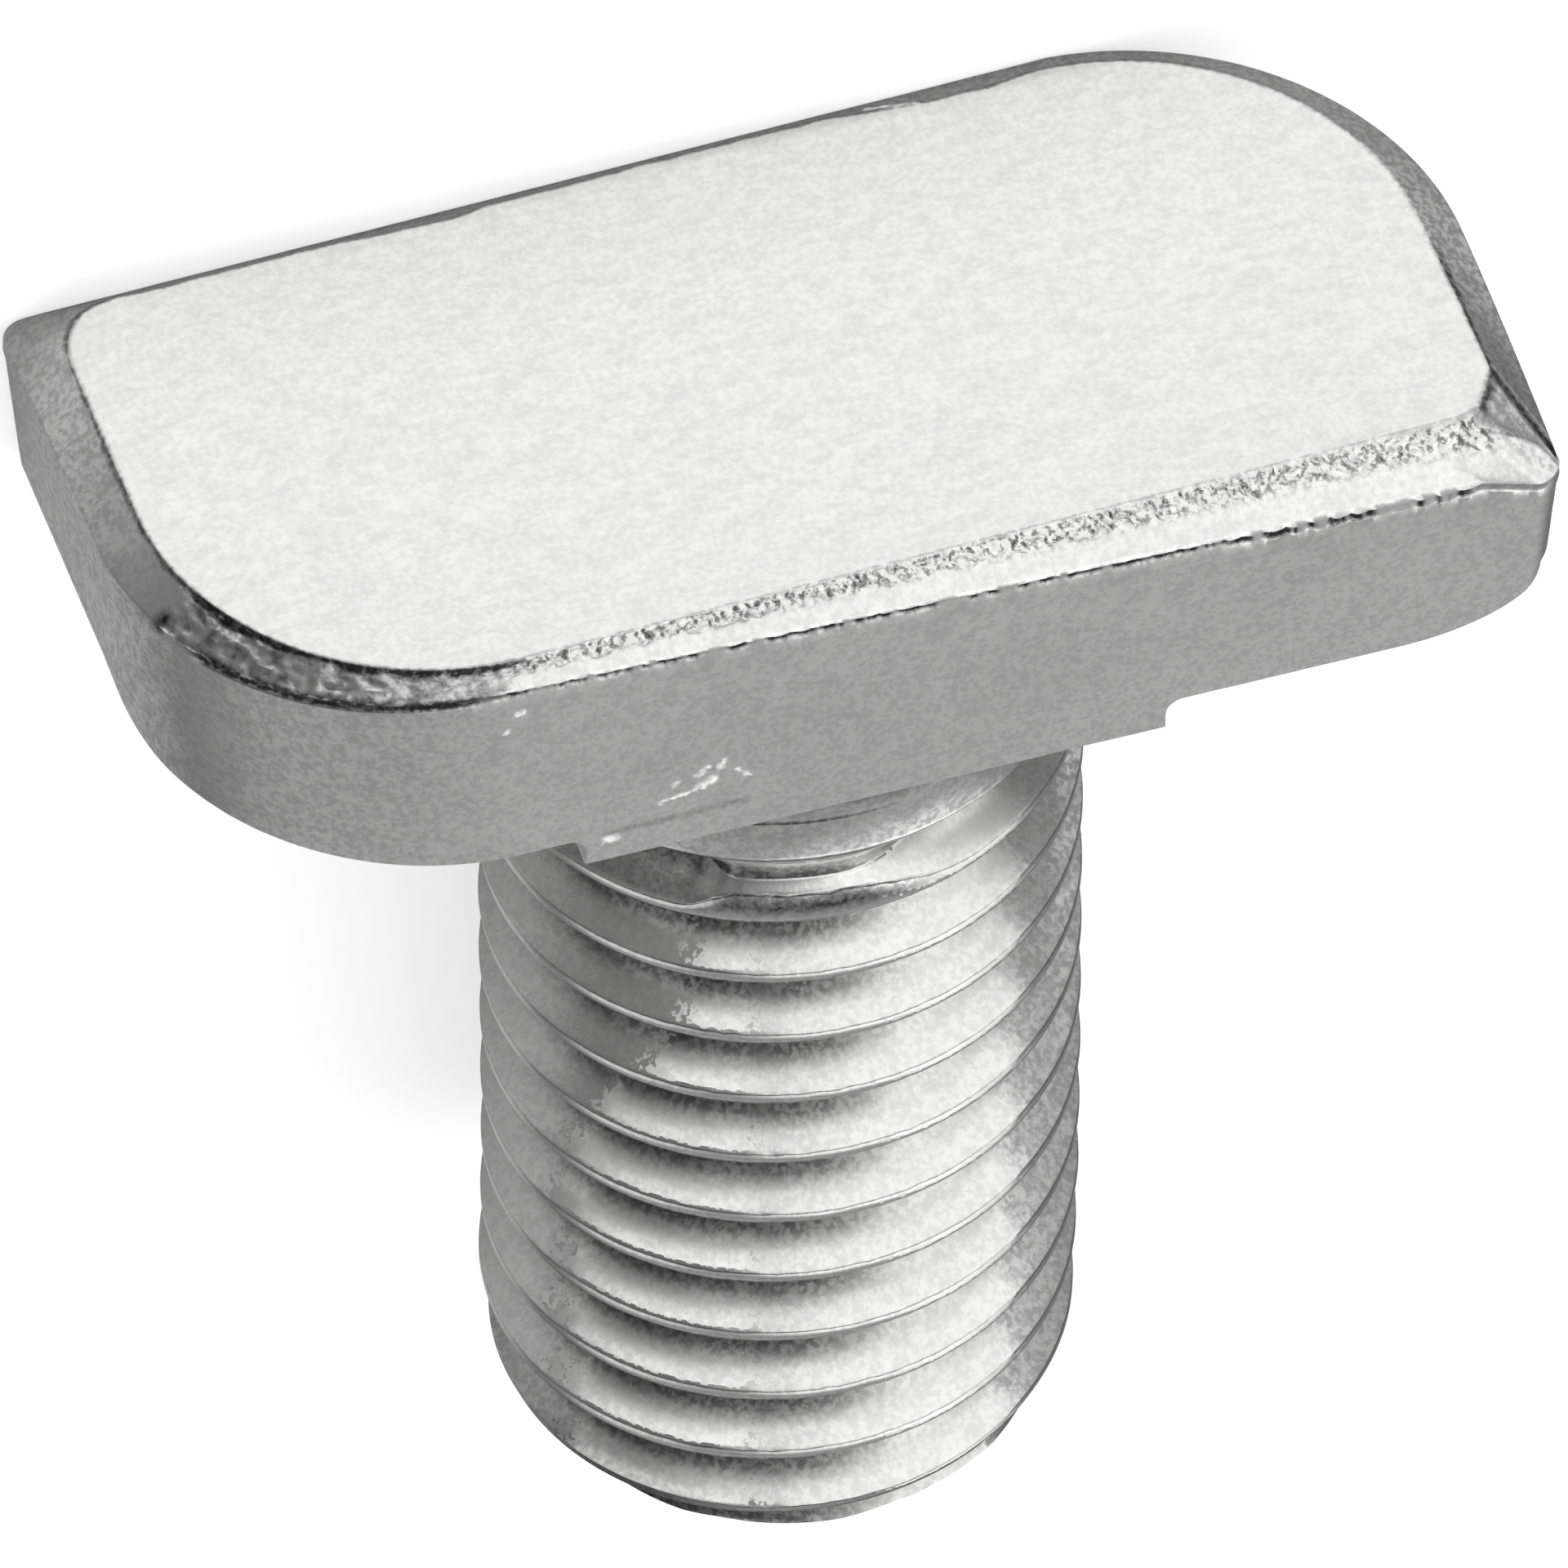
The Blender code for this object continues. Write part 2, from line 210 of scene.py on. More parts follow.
def bar_outline(length, width, turning_radius, stop_radius, dip):
    """Points round a bar with two rounded and two square corners, anticlockwise from the near right corner.

    Each is (x, y, outward x, outward y, side, share along that side).
    """
    x, y = length / 2, width / 2
    corners = (
        ("stop", x - stop_radius, -y + stop_radius, stop_radius, -90),
        ("turning", x - turning_radius, y - turning_radius, turning_radius, 0),
        ("stop", -x + stop_radius, y - stop_radius, stop_radius, 90),
        ("turning", -x + turning_radius, -y + turning_radius, turning_radius, 180),
    )
    points = []
    for i, (side, centre_x, centre_y, radius, start) in enumerate(corners):
        on_corner, on_straight = SIDE_POINTS[2 * i], SIDE_POINTS[2 * i + 1]
        for j in range(on_corner + 1):
            share = j / on_corner
            angle = math.radians(start + 90 * share)
            out_x, out_y = math.cos(angle), math.sin(angle)
            points.append((centre_x + radius * out_x, centre_y + radius * out_y, out_x, out_y, side, share))
        leave_x, leave_y, out_x, out_y = points[-1][:4]
        _, next_x, next_y, next_radius, next_start = corners[(i + 1) % 4]
        angle = math.radians(next_start)
        goal_x = next_x + next_radius * math.cos(angle)
        goal_y = next_y + next_radius * math.sin(angle)
        if side == "stop":
            straight, shares = "end", [(j / on_straight) ** END_CROWDING for j in range(1, on_straight)]
        else:
            reach = 1 - dip / math.hypot(goal_x - leave_x, goal_y - leave_y)
            straight, shares = "long", [reach * j / on_straight for j in range(1, on_straight + 1)]
            shares += [reach + (1 - reach) * j / DIP_POINTS for j in range(1, DIP_POINTS)]
        for share in shares:
            px = leave_x + (goal_x - leave_x) * share
            py = leave_y + (goal_y - leave_y) * share
            points.append((px, py, out_x, out_y, straight, share))
    return points


def smooth_step(value, low, high):
    """Rises smoothly from 0 at low to 1 at high."""
    share = min(max((value - low) / (high - low), 0.0), 1.0)
    return share * share * (3 - 2 * share)


def between(value, rise, risen, fall, fallen):
    """Rises smoothly from 0 to 1, and falls back to 0."""
    return smooth_step(value, rise, risen) * (1 - smooth_step(value, fall, fallen))


def noise_place(point, pitch, seed):
    return Vector((point[0] / pitch + seed, point[1] / pitch - seed, point[2] / pitch + 7.3 * seed))


def grain(point, pitch, seed=0.0):
    """Smooth noise between about -1 and 1, with bumps of the given pitch."""
    return noise.noise(noise_place(point, pitch, seed))


def crumbs(point, pitch, seed=0.0):
    """Rough noise between about -1 and 1, for broken edges."""
    return noise.fractal(noise_place(point, pitch, seed), 0.6, 2.2, 4)


def bevel_depth(head, side, share, blunt):
    """How far the bevel's lower edge lies below the land."""
    deepest = head.bevel_blunt_stop if blunt else head.bevel_stop
    long_end = head.bevel_least + (head.bevel_stop - head.bevel_least) * share
    if side == "long":
        span = head.length - head.turning_radius - head.stop_radius
        dip = max(0.0, share - (1 - head.bevel_dip / span)) * span / head.bevel_dip
        return long_end + (deepest - head.bevel_stop) * dip
    if side == "end":
        return head.bevel_turning + (deepest - head.bevel_turning) * (1 - share) ** 1.5
    if side == "turning":
        return head.bevel_turning + (head.bevel_least - head.bevel_turning) * share**2
    return deepest


# What the plating's nodes read from the mesh at each point, from 0 to 1; the creases' mark also carries painted shade,
# the roots' mark is painted shade, the crests' polish is partly a painted highlight and the sheen a painted one
MARKS = ("crease", "crumbly", "thread", "land", "polish_and_highlight", "root", "sheen")


class Marks:
    """Values kept by place, because a Boolean mixes them up, and put back on the finished mesh."""

    def __init__(self):
        self.places, self.values = [], []

    def note(self, place, **values):
        self.places.append(Vector(place))
        self.values.append(tuple(values.get(mark, 0.0) for mark in MARKS))

    def put_back(self, mesh):
        tree = KDTree(len(self.places))
        for i, place in enumerate(self.places):
            tree.insert(place, i)
        tree.balance()
        nearest = [self.values[tree.find(vert.co)[1]] for vert in mesh.vertices]
        for k, mark in enumerate(MARKS):
            if mark in mesh.attributes:
                mesh.attributes.remove(mesh.attributes[mark])
            layer = mesh.attributes.new(mark, "FLOAT", "POINT")
            layer.data.foreach_set("value", [values[k] for values in nearest])


class Skin:
    """A closed mesh through rings of points, whose marks are noted."""

    def __init__(self, marks):
        self.bm = bmesh.new()
        self.marks = marks
        self.rings = []

    def ring(self, points, **marks):
        """Adds a ring. A mark is one value for the ring or a list with a value for each point."""
        verts = [self.bm.verts.new(point) for point in points]
        for i, point in enumerate(points):
            self.marks.note(point, **{k: v[i] if isinstance(v, list) else v for k, v in marks.items()})
        if self.rings:
            above = self.rings[-1]
            for i in range(len(verts)):
                after = (i + 1) % len(verts)
                self.bm.faces.new((above[i], above[after], verts[after], verts[i]))
        self.rings.append(verts)

    def close(self, name):
        """Caps both ends and returns the skin as an object."""
        self.bm.faces.new(self.rings[0])
        self.bm.faces.new(self.rings[-1])
        bmesh.ops.remove_doubles(self.bm, verts=self.bm.verts, dist=2e-8)
        bmesh.ops.dissolve_degenerate(self.bm, edges=self.bm.edges, dist=1e-8)
        bmesh.ops.recalc_face_normals(self.bm, faces=self.bm.faces)
        return mesh_object(name, self.bm)


def mesh_object(name, bm):
    """Turns a bmesh into an object in the scene."""
    mesh = bpy.data.meshes.new(name)
    bm.to_mesh(mesh)
    bm.free()
    obj = bpy.data.objects.new(name, mesh)
    bpy.context.scene.collection.objects.link(obj)
    return obj


def combine(base, tool, operation):
    """Applies a Boolean of the tool to the base and removes the tool."""
    boolean = base.modifiers.new(operation.lower(), "BOOLEAN")
    boolean.operation = operation
    boolean.solver = "EXACT"
    boolean.object = tool
    graph = bpy.context.evaluated_depsgraph_get()
    graph.update()
    result = bpy.data.meshes.new_from_object(base.evaluated_get(graph))
    base.modifiers.clear()
    base.data = result
    bpy.data.objects.remove(tool, do_unlink=True)


# The near left corner's notch stands at this share of the corner, and beyond it the bevel is rolled over
NOTCH = 0.25

# The land's near right corner is cut off by this line, as (x, y) on the head
CUT_START, CUT_END = Vector((0.01098, -0.00318)), Vector((0.01034, -0.00421))

# How far the land spreads over the bevel along the far side, as (x, spread)
SPREAD = (
    (-0.0104, 0.00019),
    (-0.0061, 0.00018),
    (-0.0052, 0.00012),
    (-0.0040, 0.00008),
    (-0.0034, 0.00016),
    (0.0020, 0.00018),
    (0.0029, 0.00010),
    (0.0034, 0.00001),
    (0.0050, -0.00003),
    (0.0058, 0.00006),
)

# Where along x the gaps under the near bevel grow wider, and where they close again
GAPS_WIDEN, GAPS_CLOSE = (0.0052, 0.0068), (0.0098, 0.0102)

# Rows of points down the bevel, from 0 at the land to 1 at the brim
BEVEL_ROWS = (
    0.03, 0.07, 0.11, 0.15, 0.19, 0.23, 0.28, 0.33, 0.38,
    0.43, 0.49, 0.55, 0.62, 0.70, 0.78, 0.86, 0.93, 0.97,
)

# Rows of the gap under the brim: depth below the brim, share of the gap's reach inward, how dark it is
GAP_ROWS = ((0.000016, 0.35, 0.7), (0.000040, 1.0, 1.0), (0.000095, 1.0, 1.0), (0.000125, 0.4, 0.6))

# The sides begin this far below the brim, and have this many rows
SIDE_START, SIDE_ROWS = 0.00019, 20


def far_spread(x):
    """How far the land spreads over the far bevel at x."""
    for (x0, low), (x1, high) in zip(SPREAD, SPREAD[1:]):
        if x0 <= x <= x1:
            return low + (high - low) * (x - x0) / (x1 - x0)
    return SPREAD[0][1] if x < SPREAD[0][0] else SPREAD[-1][1]


class Column:
    """One place on the head's outline: the land's edge, the bevel's brim, the foot of the side, and their wear.

    Each kind of wear is from 0 to 1: crumbled, rolled, seam, notch, cleft and open shape the metal, and edge_line only
    darkens it. The bevel also gets painted shade, from 0 to 1, by which side it is on.
    """

    def __init__(self, head, land_point, body_point):
        self.side, self.share = land_point[4:]
        self.blunt, self.near = body_point[0] > 0, body_point[1] < 0
        self.place_edge(head, *land_point[:4])
        self.place_brim(head, *body_point[:4])
        self.wear()
        self.bevel_shade = self.bevel_shade_level()
        self.edge_line = self.edge_darkness()

    def place_edge(self, head, x, y, out_x, out_y):
        """The land's edge, cut off at the near right corner and spread over the bevel on the far side."""
        cosine, sine = math.cos(head.land_turn), math.sin(head.land_turn)
        edge = Vector((x * cosine - y * sine, x * sine + y * cosine))
        along = (CUT_END - CUT_START).normalized()
        off_cut = Vector((along.y, -along.x))
        beyond = -(edge - CUT_START).dot(off_cut)
        self.cut = self.blunt and self.near and beyond > 0
        if self.cut:
            edge += off_cut * beyond
        self.edge_out = Vector((out_x * cosine - out_y * sine, out_x * sine + out_y * cosine, 0))
        spread = 0.0
        if self.side == "long" and not self.near:
            spread = far_spread(edge.x) + 0.00003 * crumbs(edge.to_3d(), 0.0005, 17.0)
        elif self.side == "stop" and not self.blunt:
            spread = SPREAD[0][1] * (1 - smooth_step(self.share, 0.0, 0.9))
        elif self.side == "turning" and self.blunt:
            spread = SPREAD[-1][1] * smooth_step(self.share, 0.3, 0.9)
        self.edge = edge.to_3d() + Vector((0, 0, head.height)) + self.edge_out * spread

    def place_brim(self, head, x, y, out_x, out_y):
        """The bevel's brim, the foot of the side, and the direction square to the bevel."""
        top = head.height
        self.out = Vector((out_x, out_y, 0))
        depth = bevel_depth(head, self.side, self.share, self.blunt)
        shift = -y * math.tan(head.end_skew)
        self.brim = Vector((x + shift, y, top - depth)) - self.out * head.skin_margin
        draw = 1 - 2 * head.end_draft * (top - head.bevel_stop + SINK) / (top - head.bevel_stop) / head.length
        self.foot = Vector((self.brim.x * draw, self.brim.y, -SINK))
        slope = self.brim - self.edge
        flat = Vector((slope.x, slope.y)).normalized()
        self.rise = Vector((flat.x * -slope.z, flat.y * -slope.z, Vector((slope.x, slope.y)).length)).normalized()

    def wear(self):
        side, share = self.side, self.share
        near_stop = side == "stop" and self.near
        near_turning = side == "turning" and self.near
        self.corner_share = share if near_stop else None
        # The near side's bevel is crumbled
        self.crumbled = 1.0 if side == "long" and self.near else 0.0
        if near_stop:
            self.crumbled = 1 - smooth_step(share, 0.16, 0.30)
        elif near_turning:
            self.crumbled = smooth_step(share, 0.93, 1.0)
        # The near left corner's bevel is rolled over in ridges past a notch, with a dark seam under its brim
        self.rolled = self.seam = self.notch = 0.0
        if near_turning:
            self.rolled = smooth_step(share, NOTCH - 0.01, NOTCH + 0.02) * (1 - self.crumbled)
            self.seam = smooth_step(share, NOTCH + 0.02, NOTCH + 0.14) * (1 - 0.75 * smooth_step(share, 0.9, 1.0))
            self.notch = max(0.0, 1 - abs(share - NOTCH) / 0.026)
        # A cleft runs down the bevel where the near right corner meets the end
        self.cleft = 0.0
        if near_stop:
            self.cleft = smooth_step(share, 0.78, 0.94)
        elif side == "end" and self.blunt:
            self.cleft = 1 - smooth_step(share, 0.03, 0.075)
        self.plain = 1 - max(self.crumbled, self.rolled, 1.0 if near_stop else 0.0)
        self.open = max(self.seam, self.crumbled * smooth_step(self.brim.x, *GAPS_WIDEN))

    def bevel_shade_level(self):
        """Painted shade over the whole bevel, most on the blunt end."""
        if self.blunt and self.side == "end":
            return 1.0
        if self.blunt and self.side == "turning":
            return 1 - 0.6 * smooth_step(self.share, 0.1, 0.8)
        if self.side == "long" and not self.near:
            return 0.4
        if self.side == "end" or (self.side == "stop" and not self.blunt):
            return 0.2
        return 0.0

    def edge_darkness(self):
        """How dark the line along the land's edge is."""
        if self.side == "long" and self.near:
            return 0.0 if self.share < 0.93 else 0.25
        if self.side == "long" or (self.side == "turning" and self.blunt):
            return 0.45
        if self.side == "end" and self.blunt:
            return 0.85 * (1 - 0.5 * smooth_step(self.share, 0.6, 1.0))
        if self.corner_share is not None:
            return 0.25
        return 0.75 + 0.25 * self.rolled


def bevel_point(column, t):
    """A point of the worn bevel, with its marks: t runs from the land's edge to the brim."""
    base = column.edge.lerp(column.brim, t)
    width = (column.brim - column.edge).length
    across = t * width
    fade = min(1.0, across / 0.00004) * min(1.0, (1 - t) * width / 0.00004)
    rise = 0.000006 * grain(base, 0.0006, 3.0) * fade
    # The upper half of the near side's bevel is crumbled
    crumbled = column.crumbled * between(t, 0.0, 0.06, 0.30, 0.62)
    hole = smooth_step(crumbs(base, 0.00016, 5.0), -0.05, 0.42)
    rise -= crumbled * hole * 0.000055
    # Long ridges are drawn round the near left corner
    drawn = Vector((base.x * 0.35, base.y * 0.35, across))
    rise += column.rolled * fade * (0.000042 * grain(drawn, 0.00013, 7.0) - 0.000020)
    rise -= column.rolled * fade * 0.00003 * max(0.0, crumbs(base, 0.00020, 9.0))
    # The near right corner has a facet that narrows downwards, with shallow streaks and a crease at its border; beside
    # the facet the bevel gets a painted sheen, and the facet painted shade
    facet = border = sheen = 0.0
    if column.corner_share is not None:
        start = 0.10 + 0.62 * smooth_step(t, 0.05, 0.85)
        facet = smooth_step(column.corner_share, start, start + 0.10)
        border = max(0.0, 1 - abs(column.corner_share - start) / 0.07)
        sheen = 0.85 * smooth_step(column.corner_share, 0.1, 0.3) * (1 - facet)
    rise += facet * fade * 0.000012 * grain(base, 0.00016, 13.0)
    rise -= 0.00005 * column.cleft * between(t, 0.0, 0.1, 0.97, 1.0)
    rise -= 0.00002 * border * smooth_step(t, 0.1, 0.25)

    # The dark line along the land's edge varies in width
    thick = (1 + 0.9 * column.rolled + 1.5 * column.bevel_shade) * (1 + 0.35 * crumbs(column.edge, 0.0004, 15.0))
    thick *= 1 - 0.45 * column.rolled * max(0.0, min(1.0, 2.5 * crumbs(column.edge, 0.0009, 19.0)))
    creases = [
        column.edge_line * (1 - smooth_step(across, 0.00005 * thick, 0.00012 * thick)),
        0.95 * column.cleft,
        0.5 * border * smooth_step(t, 0.1, 0.25),
        column.notch * smooth_step(t, 0.50, 0.80),
        0.9 * column.seam * smooth_step(t, 0.84, 0.96),
    ]
    if column.cut:
        creases.append(0.8 * (1 - smooth_step(across, 0.00012, 0.0003)))
    # The rolled corner's bevel is darkened, and the bevel gets painted shade by its side and on the near right corner's
    # facet
    wear_and_shade = 0.42 * column.rolled * (0.6 + 0.8 * hole) + 0.48 * column.bevel_shade + 0.25 * facet
    return base + column.rise * rise, {
        "crease": max(*creases, wear_and_shade),
        "crumbly": crumbled + 0.35 * facet,
        "land": 0.75 * column.crumbled,
        "sheen": sheen * (1 - border) * smooth_step(t, 0.1, 0.3),
    }


def chip(column):
    """How far the land's edge is broken back."""
    return 0.00003 * max(0.0, crumbs(column.edge, 0.00018, 1.0)) * (0.4 + 0.6 * column.crumbled)


def lobe(column):
    """How far the bevel's metal hangs down over the near side, in small lobes."""
    place = column.brim.x + 0.0001 * grain(column.brim, 0.0009, 2.0)
    saw = (place / 0.00036) % 1.0
    ragged = 0.5 + 0.5 * crumbs(column.brim, 0.00019, 2.0)
    deep = 0.45 + 0.75 * smooth_step(column.brim.x, *GAPS_WIDEN)
    hanging = column.crumbled * (1 - smooth_step(column.brim.x, *GAPS_CLOSE))
    return hanging * (0.000012 + deep * 0.000060 * math.sin(math.pi * saw) ** 0.6 + 0.000040 * ragged)


def torn(column):
    """How open the gap under the brim is."""
    gap = smooth_step(crumbs(column.brim, 0.00026, 6.0), -0.22, 0.02)
    gap *= 1 - 0.7 * smooth_step(column.brim.x, *GAPS_CLOSE)
    return max(column.crumbled * gap, column.seam, column.notch)


def add_land(skin, columns):
    """The land's rim, a little broken at its edge."""
    chips = [chip(c) for c in columns]
    drop = Vector((0, 0, 0.000004))
    skin.ring([c.edge - c.edge_out * 0.0003 for c in columns], land=1.0)
    skin.ring([c.edge - c.edge_out * (0.00006 + k) for c, k in zip(columns, chips)], land=1.0)
    skin.ring(
        [c.edge - c.edge_out * (0.00001 + k) - drop for c, k in zip(columns, chips)],
        crease=[0.3 * c.edge_line for c in columns],
    )


def add_bevel(skin, columns):
    for t in BEVEL_ROWS:
        row = [bevel_point(c, t) for c in columns]
        skin.ring([point for point, _ in row], **{mark: [values[mark] for _, values in row] for mark in row[0][1]})


def add_brim(skin, columns, lobes):
    """The brim, whose metal hangs over on the near side, with torn, dark gaps under it."""
    gaps = [torn(c) for c in columns]
    down = Vector((0, 0, -1))
    skin.ring(
        [c.brim + down * d - c.out * 0.000010 * c.plain for c, d in zip(columns, lobes)],
        crease=[0.9 * c.seam + c.notch for c in columns],
    )
    for depth, inset, mark in GAP_ROWS:
        skin.ring(
            [
                c.brim + down * (d + depth * (0.9 + 0.5 * c.open)) - c.out * (0.000004 + inset * 0.000032 * g)
                for c, d, g in zip(columns, lobes, gaps)
            ],
            crease=[mark * g for g in gaps],
        )
    skin.ring([c.brim + down * (d + SIDE_START) for c, d in zip(columns, lobes)])


def add_sides(skin, head, columns, lobes):
    """The sides, with faint dents, down to the chamfer along the neck's foot."""
    level = -head.neck_depth + head.neck_chamfer
    for k in range(1, SIDE_ROWS + 1):
        points = []
        for c, d in zip(columns, lobes):
            start = c.brim.z - d - SIDE_START
            z = start + (level - start) * k / SIDE_ROWS
            point = c.brim.lerp(c.foot, (c.brim.z - z) / (c.brim.z - c.foot.z))
            dent = 0.000004 * grain(point, 0.0011, 11.0) + 0.000003 * grain(point, 0.00035, 12.0)
            points.append(point - c.out * (0.000007 - dent))
        skin.ring(points)
    skin.ring([c.foot - c.out * (SINK - head.neck_depth + head.neck_chamfer) for c in columns])


def side_profile(head):
    """A block with the head's and neck's profile seen from the side: underside, neck's ends, both ends' rounding."""
    foot_x = head.length / 2 - head.end_draft
    clear, above = head.length / 2 + SINK, head.height + SINK

    def arc(centre_x, centre_z, run, rise, start, end, count):
        angles = (math.radians(start + (end - start) * i / count) for i in range(count + 1))
        return [(centre_x + run * math.cos(a), centre_z + rise * math.sin(a)) for a in angles]

    half, fillet, crisp = head.neck_length / 2, head.neck_fillet, head.crisp_radius
    profile = [(half, -head.neck_depth)]
    profile += arc(half + fillet, -fillet, fillet, fillet, 180, 90, 10)
    profile += arc(foot_x - head.blunt_run, head.blunt_rise, head.blunt_run, head.blunt_rise, -90, 0, 36)
    profile += [(clear, head.blunt_rise + SINK), (clear, above), (-clear, above), (-clear, crisp + SINK)]
    profile += arc(-foot_x + crisp, crisp, crisp, crisp, 180, 270, 12)
    profile += arc(-half - fillet, -fillet, fillet, fillet, 90, 0, 10)
    profile.append((-half, -head.neck_depth))
    reach = head.width / 2 + SINK
    bm = bmesh.new()
    sides = [[bm.verts.new((x, y, z)) for x, z in profile] for y in (-reach, reach)]
    for i in range(len(profile)):
        after = (i + 1) % len(profile)
        bm.faces.new((sides[0][i], sides[0][after], sides[1][after], sides[1][i]))
    bm.faces.new(sides[0])
    bm.faces.new(sides[1])
    bmesh.ops.recalc_face_normals(bm, faces=bm.faces)
    return mesh_object("side_profile", bm)


def build_head(head, marks):
    """The head and neck: one skin over the land, the worn bevel and the sides, cut to the side profile."""
    body = bar_outline(head.length, head.width, head.turning_radius, head.stop_radius, head.bevel_dip)
    land = bar_outline(
        head.length - 2 * head.land_end_margin,
        head.width - 2 * head.land_side_margin,
        head.land_turning_radius,
        head.land_stop_radius,
        head.bevel_dip,
    )
    columns = [Column(head, *pair) for pair in zip(land, body)]
    lobes = [lobe(c) for c in columns]
    skin = Skin(marks)
    add_land(skin, columns)
    add_bevel(skin, columns)
    add_brim(skin, columns, lobes)
    add_sides(skin, head, columns, lobes)
    obj = skin.close("bolt_head")
    combine(obj, side_profile(head), "INTERSECT")
    return obj


GroovePoint = namedtuple("GroovePoint", "place drop crease root")

# Half of a groove across, from its root to its brink: share of the half mouth, share of the depth, painted shade at the
# root
FLANK = (
    (0.0, 1.0, 1.0),
    (0.12, 0.998, 1.0),
    (0.20, 0.972, 1.0),
    (0.275, 0.905, 1.0),
    (0.37, 0.800, 1.0),
    (0.48, 0.663, 0.88),
    (0.60, 0.510, 0.38),
    (0.72, 0.357, 0.05),
    (0.84, 0.204, 0.0),
    (0.93, 0.090, 0.0),
)

# Past the groove's lower brink, towards the tip: place from the brink, drop below the crest, mark of the crest's seam
SEAM = (
    (-0.000014, 0.000024, 0.0),
    (0.000000, 0.000006, 0.4),
    (0.000009, 0.000024, 1.0),
    (0.000032, 0.000028, 1.0),
    (0.000046, 0.000019, 0.0),
)

# Past its upper brink, towards the head, with the mark of the dark line under the crest above, painted shade along that
# crease
BRINK = ((-0.000016, 0.000024, 0.8), (0.000016, 0.000008, 0.95), (0.000046, 0.0, 0.1))

# A crease below zero marks the middle of a crest
CREST = -1.0


def groove_section(shank, formed, filled, jag, shaded):
    """The groove across, from its upper brink to the crest below it.

    filled makes it shallow and draws the lower brink up, as where the rolled crest is broad; jag shifts the brinks.
    """
    depth = formed * shank.groove_depth
    mouth = shank.root_flat / 2 + depth * math.tan(shank.flank_angle)
    depth *= 1 - 0.74 * filled
    scale = 0.2 + 0.8 * formed
    points = [
        GroovePoint(-(mouth + (place + jag * 0.5) * scale), drop * formed, crease * formed * 0.8, 0.0)
        for place, drop, crease in reversed(BRINK)
    ]
    for share, drop, mark in reversed(FLANK[1::2]):
        points.append(GroovePoint(-share * mouth, drop * depth, 0.0, mark * shaded))
    narrowed = mouth * (1 - 0.62 * filled)
    for share, drop, mark in FLANK:
        kept = 1 - 0.95 * filled if share > 0.15 else 1.0
        points.append(GroovePoint(share * narrowed, drop * depth, 0.0, mark * shaded * formed * kept))
    for place, drop, crease in SEAM:
        points.append(GroovePoint(narrowed + (place + jag) * scale, drop * formed, crease * formed, 0.0))
    crest = max(narrowed + 0.00006 * scale + jag * scale, shank.pitch / 2 - 0.00022 * filled)
    points.append(GroovePoint(crest, 0.0, CREST, 0.0))
    return points


# The side of the shank that the camera sees, in degrees round its axis
CAMERA_SIDE = -107.4


class ShankLine:
    """One line down the shank: where it is, how the thread is worn there, and the painted light and shade on it, from 0
    to 1.
    """

    def __init__(self, angle):
        self.turn = angle / math.tau
        self.cosine, self.sine = math.cos(angle), math.sin(angle)
        # The angle from the side that the camera sees, in degrees, and above zero towards the right
        facing = (math.degrees(angle) - CAMERA_SIDE + 180) % 360 - 180
        self.facing = facing
        # The first crest is broad and worn at the front; left of that the groove above it gets crumbs and painted
        # shade, as under the neck
        self.broad = between(facing, -20, -8, 12, 40)
        self.crumbs_and_neck_shade = between(facing, -80, -60, -22, -10)
        # The brinks are most ragged at the front, and the painted shade in the roots is strongest there
        self.ragged = between(facing, -32, -12, 25, 45)
        self.shaded = (0.45 + 0.55 * smooth_step(facing, -75, -38)) * (1 - 0.85 * smooth_step(facing, 4, 34))
        # The crests get painted shade at the front, the flanks a painted sheen right of it, and they are scuffed
        # further round
        self.front_shade = between(facing, -42, -22, 18, 36)
        self.bright = between(facing, 14, 32, 51, 58)
        self.scuffed = between(facing, 50, 57, 120, 170)
        # The tip's rim gets painted shade on the left
        self.rim = between(facing, -115, -95, -30, 5)

    def spot(self, depth):
        """Where this line is at a depth, for noise."""
        return (self.cosine * 0.005, self.sine * 0.005, -depth)


ThreadPoint = namedtuple("ThreadPoint", "depth radius crease root formed rough murk flank lower")


def thread_points(shank, line, turns):
    """The points of the rolled thread down one line of the shank, before the tip is cut."""
    points = []
    for number in turns:
        middle = shank.first_groove + shank.pitch * (number - line.turn + 0.75)
        formed = min(max((middle - shank.plain_length) / shank.runout_length, 0.0), 1.0)
        surface = (shank.plain_diameter + formed * (shank.crest_diameter - shank.plain_diameter)) / 2
        first = abs(middle - shank.first_groove) < shank.pitch * 0.5
        filled = line.broad if first else 0.0
        jag = (0.000005 + 0.000018 * line.ragged) * crumbs(line.spot(middle), 0.00016, 31.0)
        for place, drop, crease, root in groove_section(shank, formed, filled, jag, line.shaded):
            lower = place > 0
            points.append(
                ThreadPoint(
                    middle + place,
                    surface - drop,
                    crease,
                    root,
                    formed,
                    rough=filled if lower and drop < 0.00003 else 0.0,
                    murk=line.crumbs_and_neck_shade if first and drop > 0.00005 else 0.0,
                    flank=1.0 if lower and drop > 0.00003 and not first else 0.0,
                    lower=1.0 if lower else 0.0,
                )
            )
    return points


def radius_at(points, depth):
    """The thread's radius at a depth between two of its points."""
    for above, below in zip(points, points[1:]):
        if above.depth <= depth <= below.depth:
            share = (depth - above.depth) / max(below.depth - above.depth, 1e-12)
            return above.radius + (below.radius - above.radius) * share
    return points[-1].radius


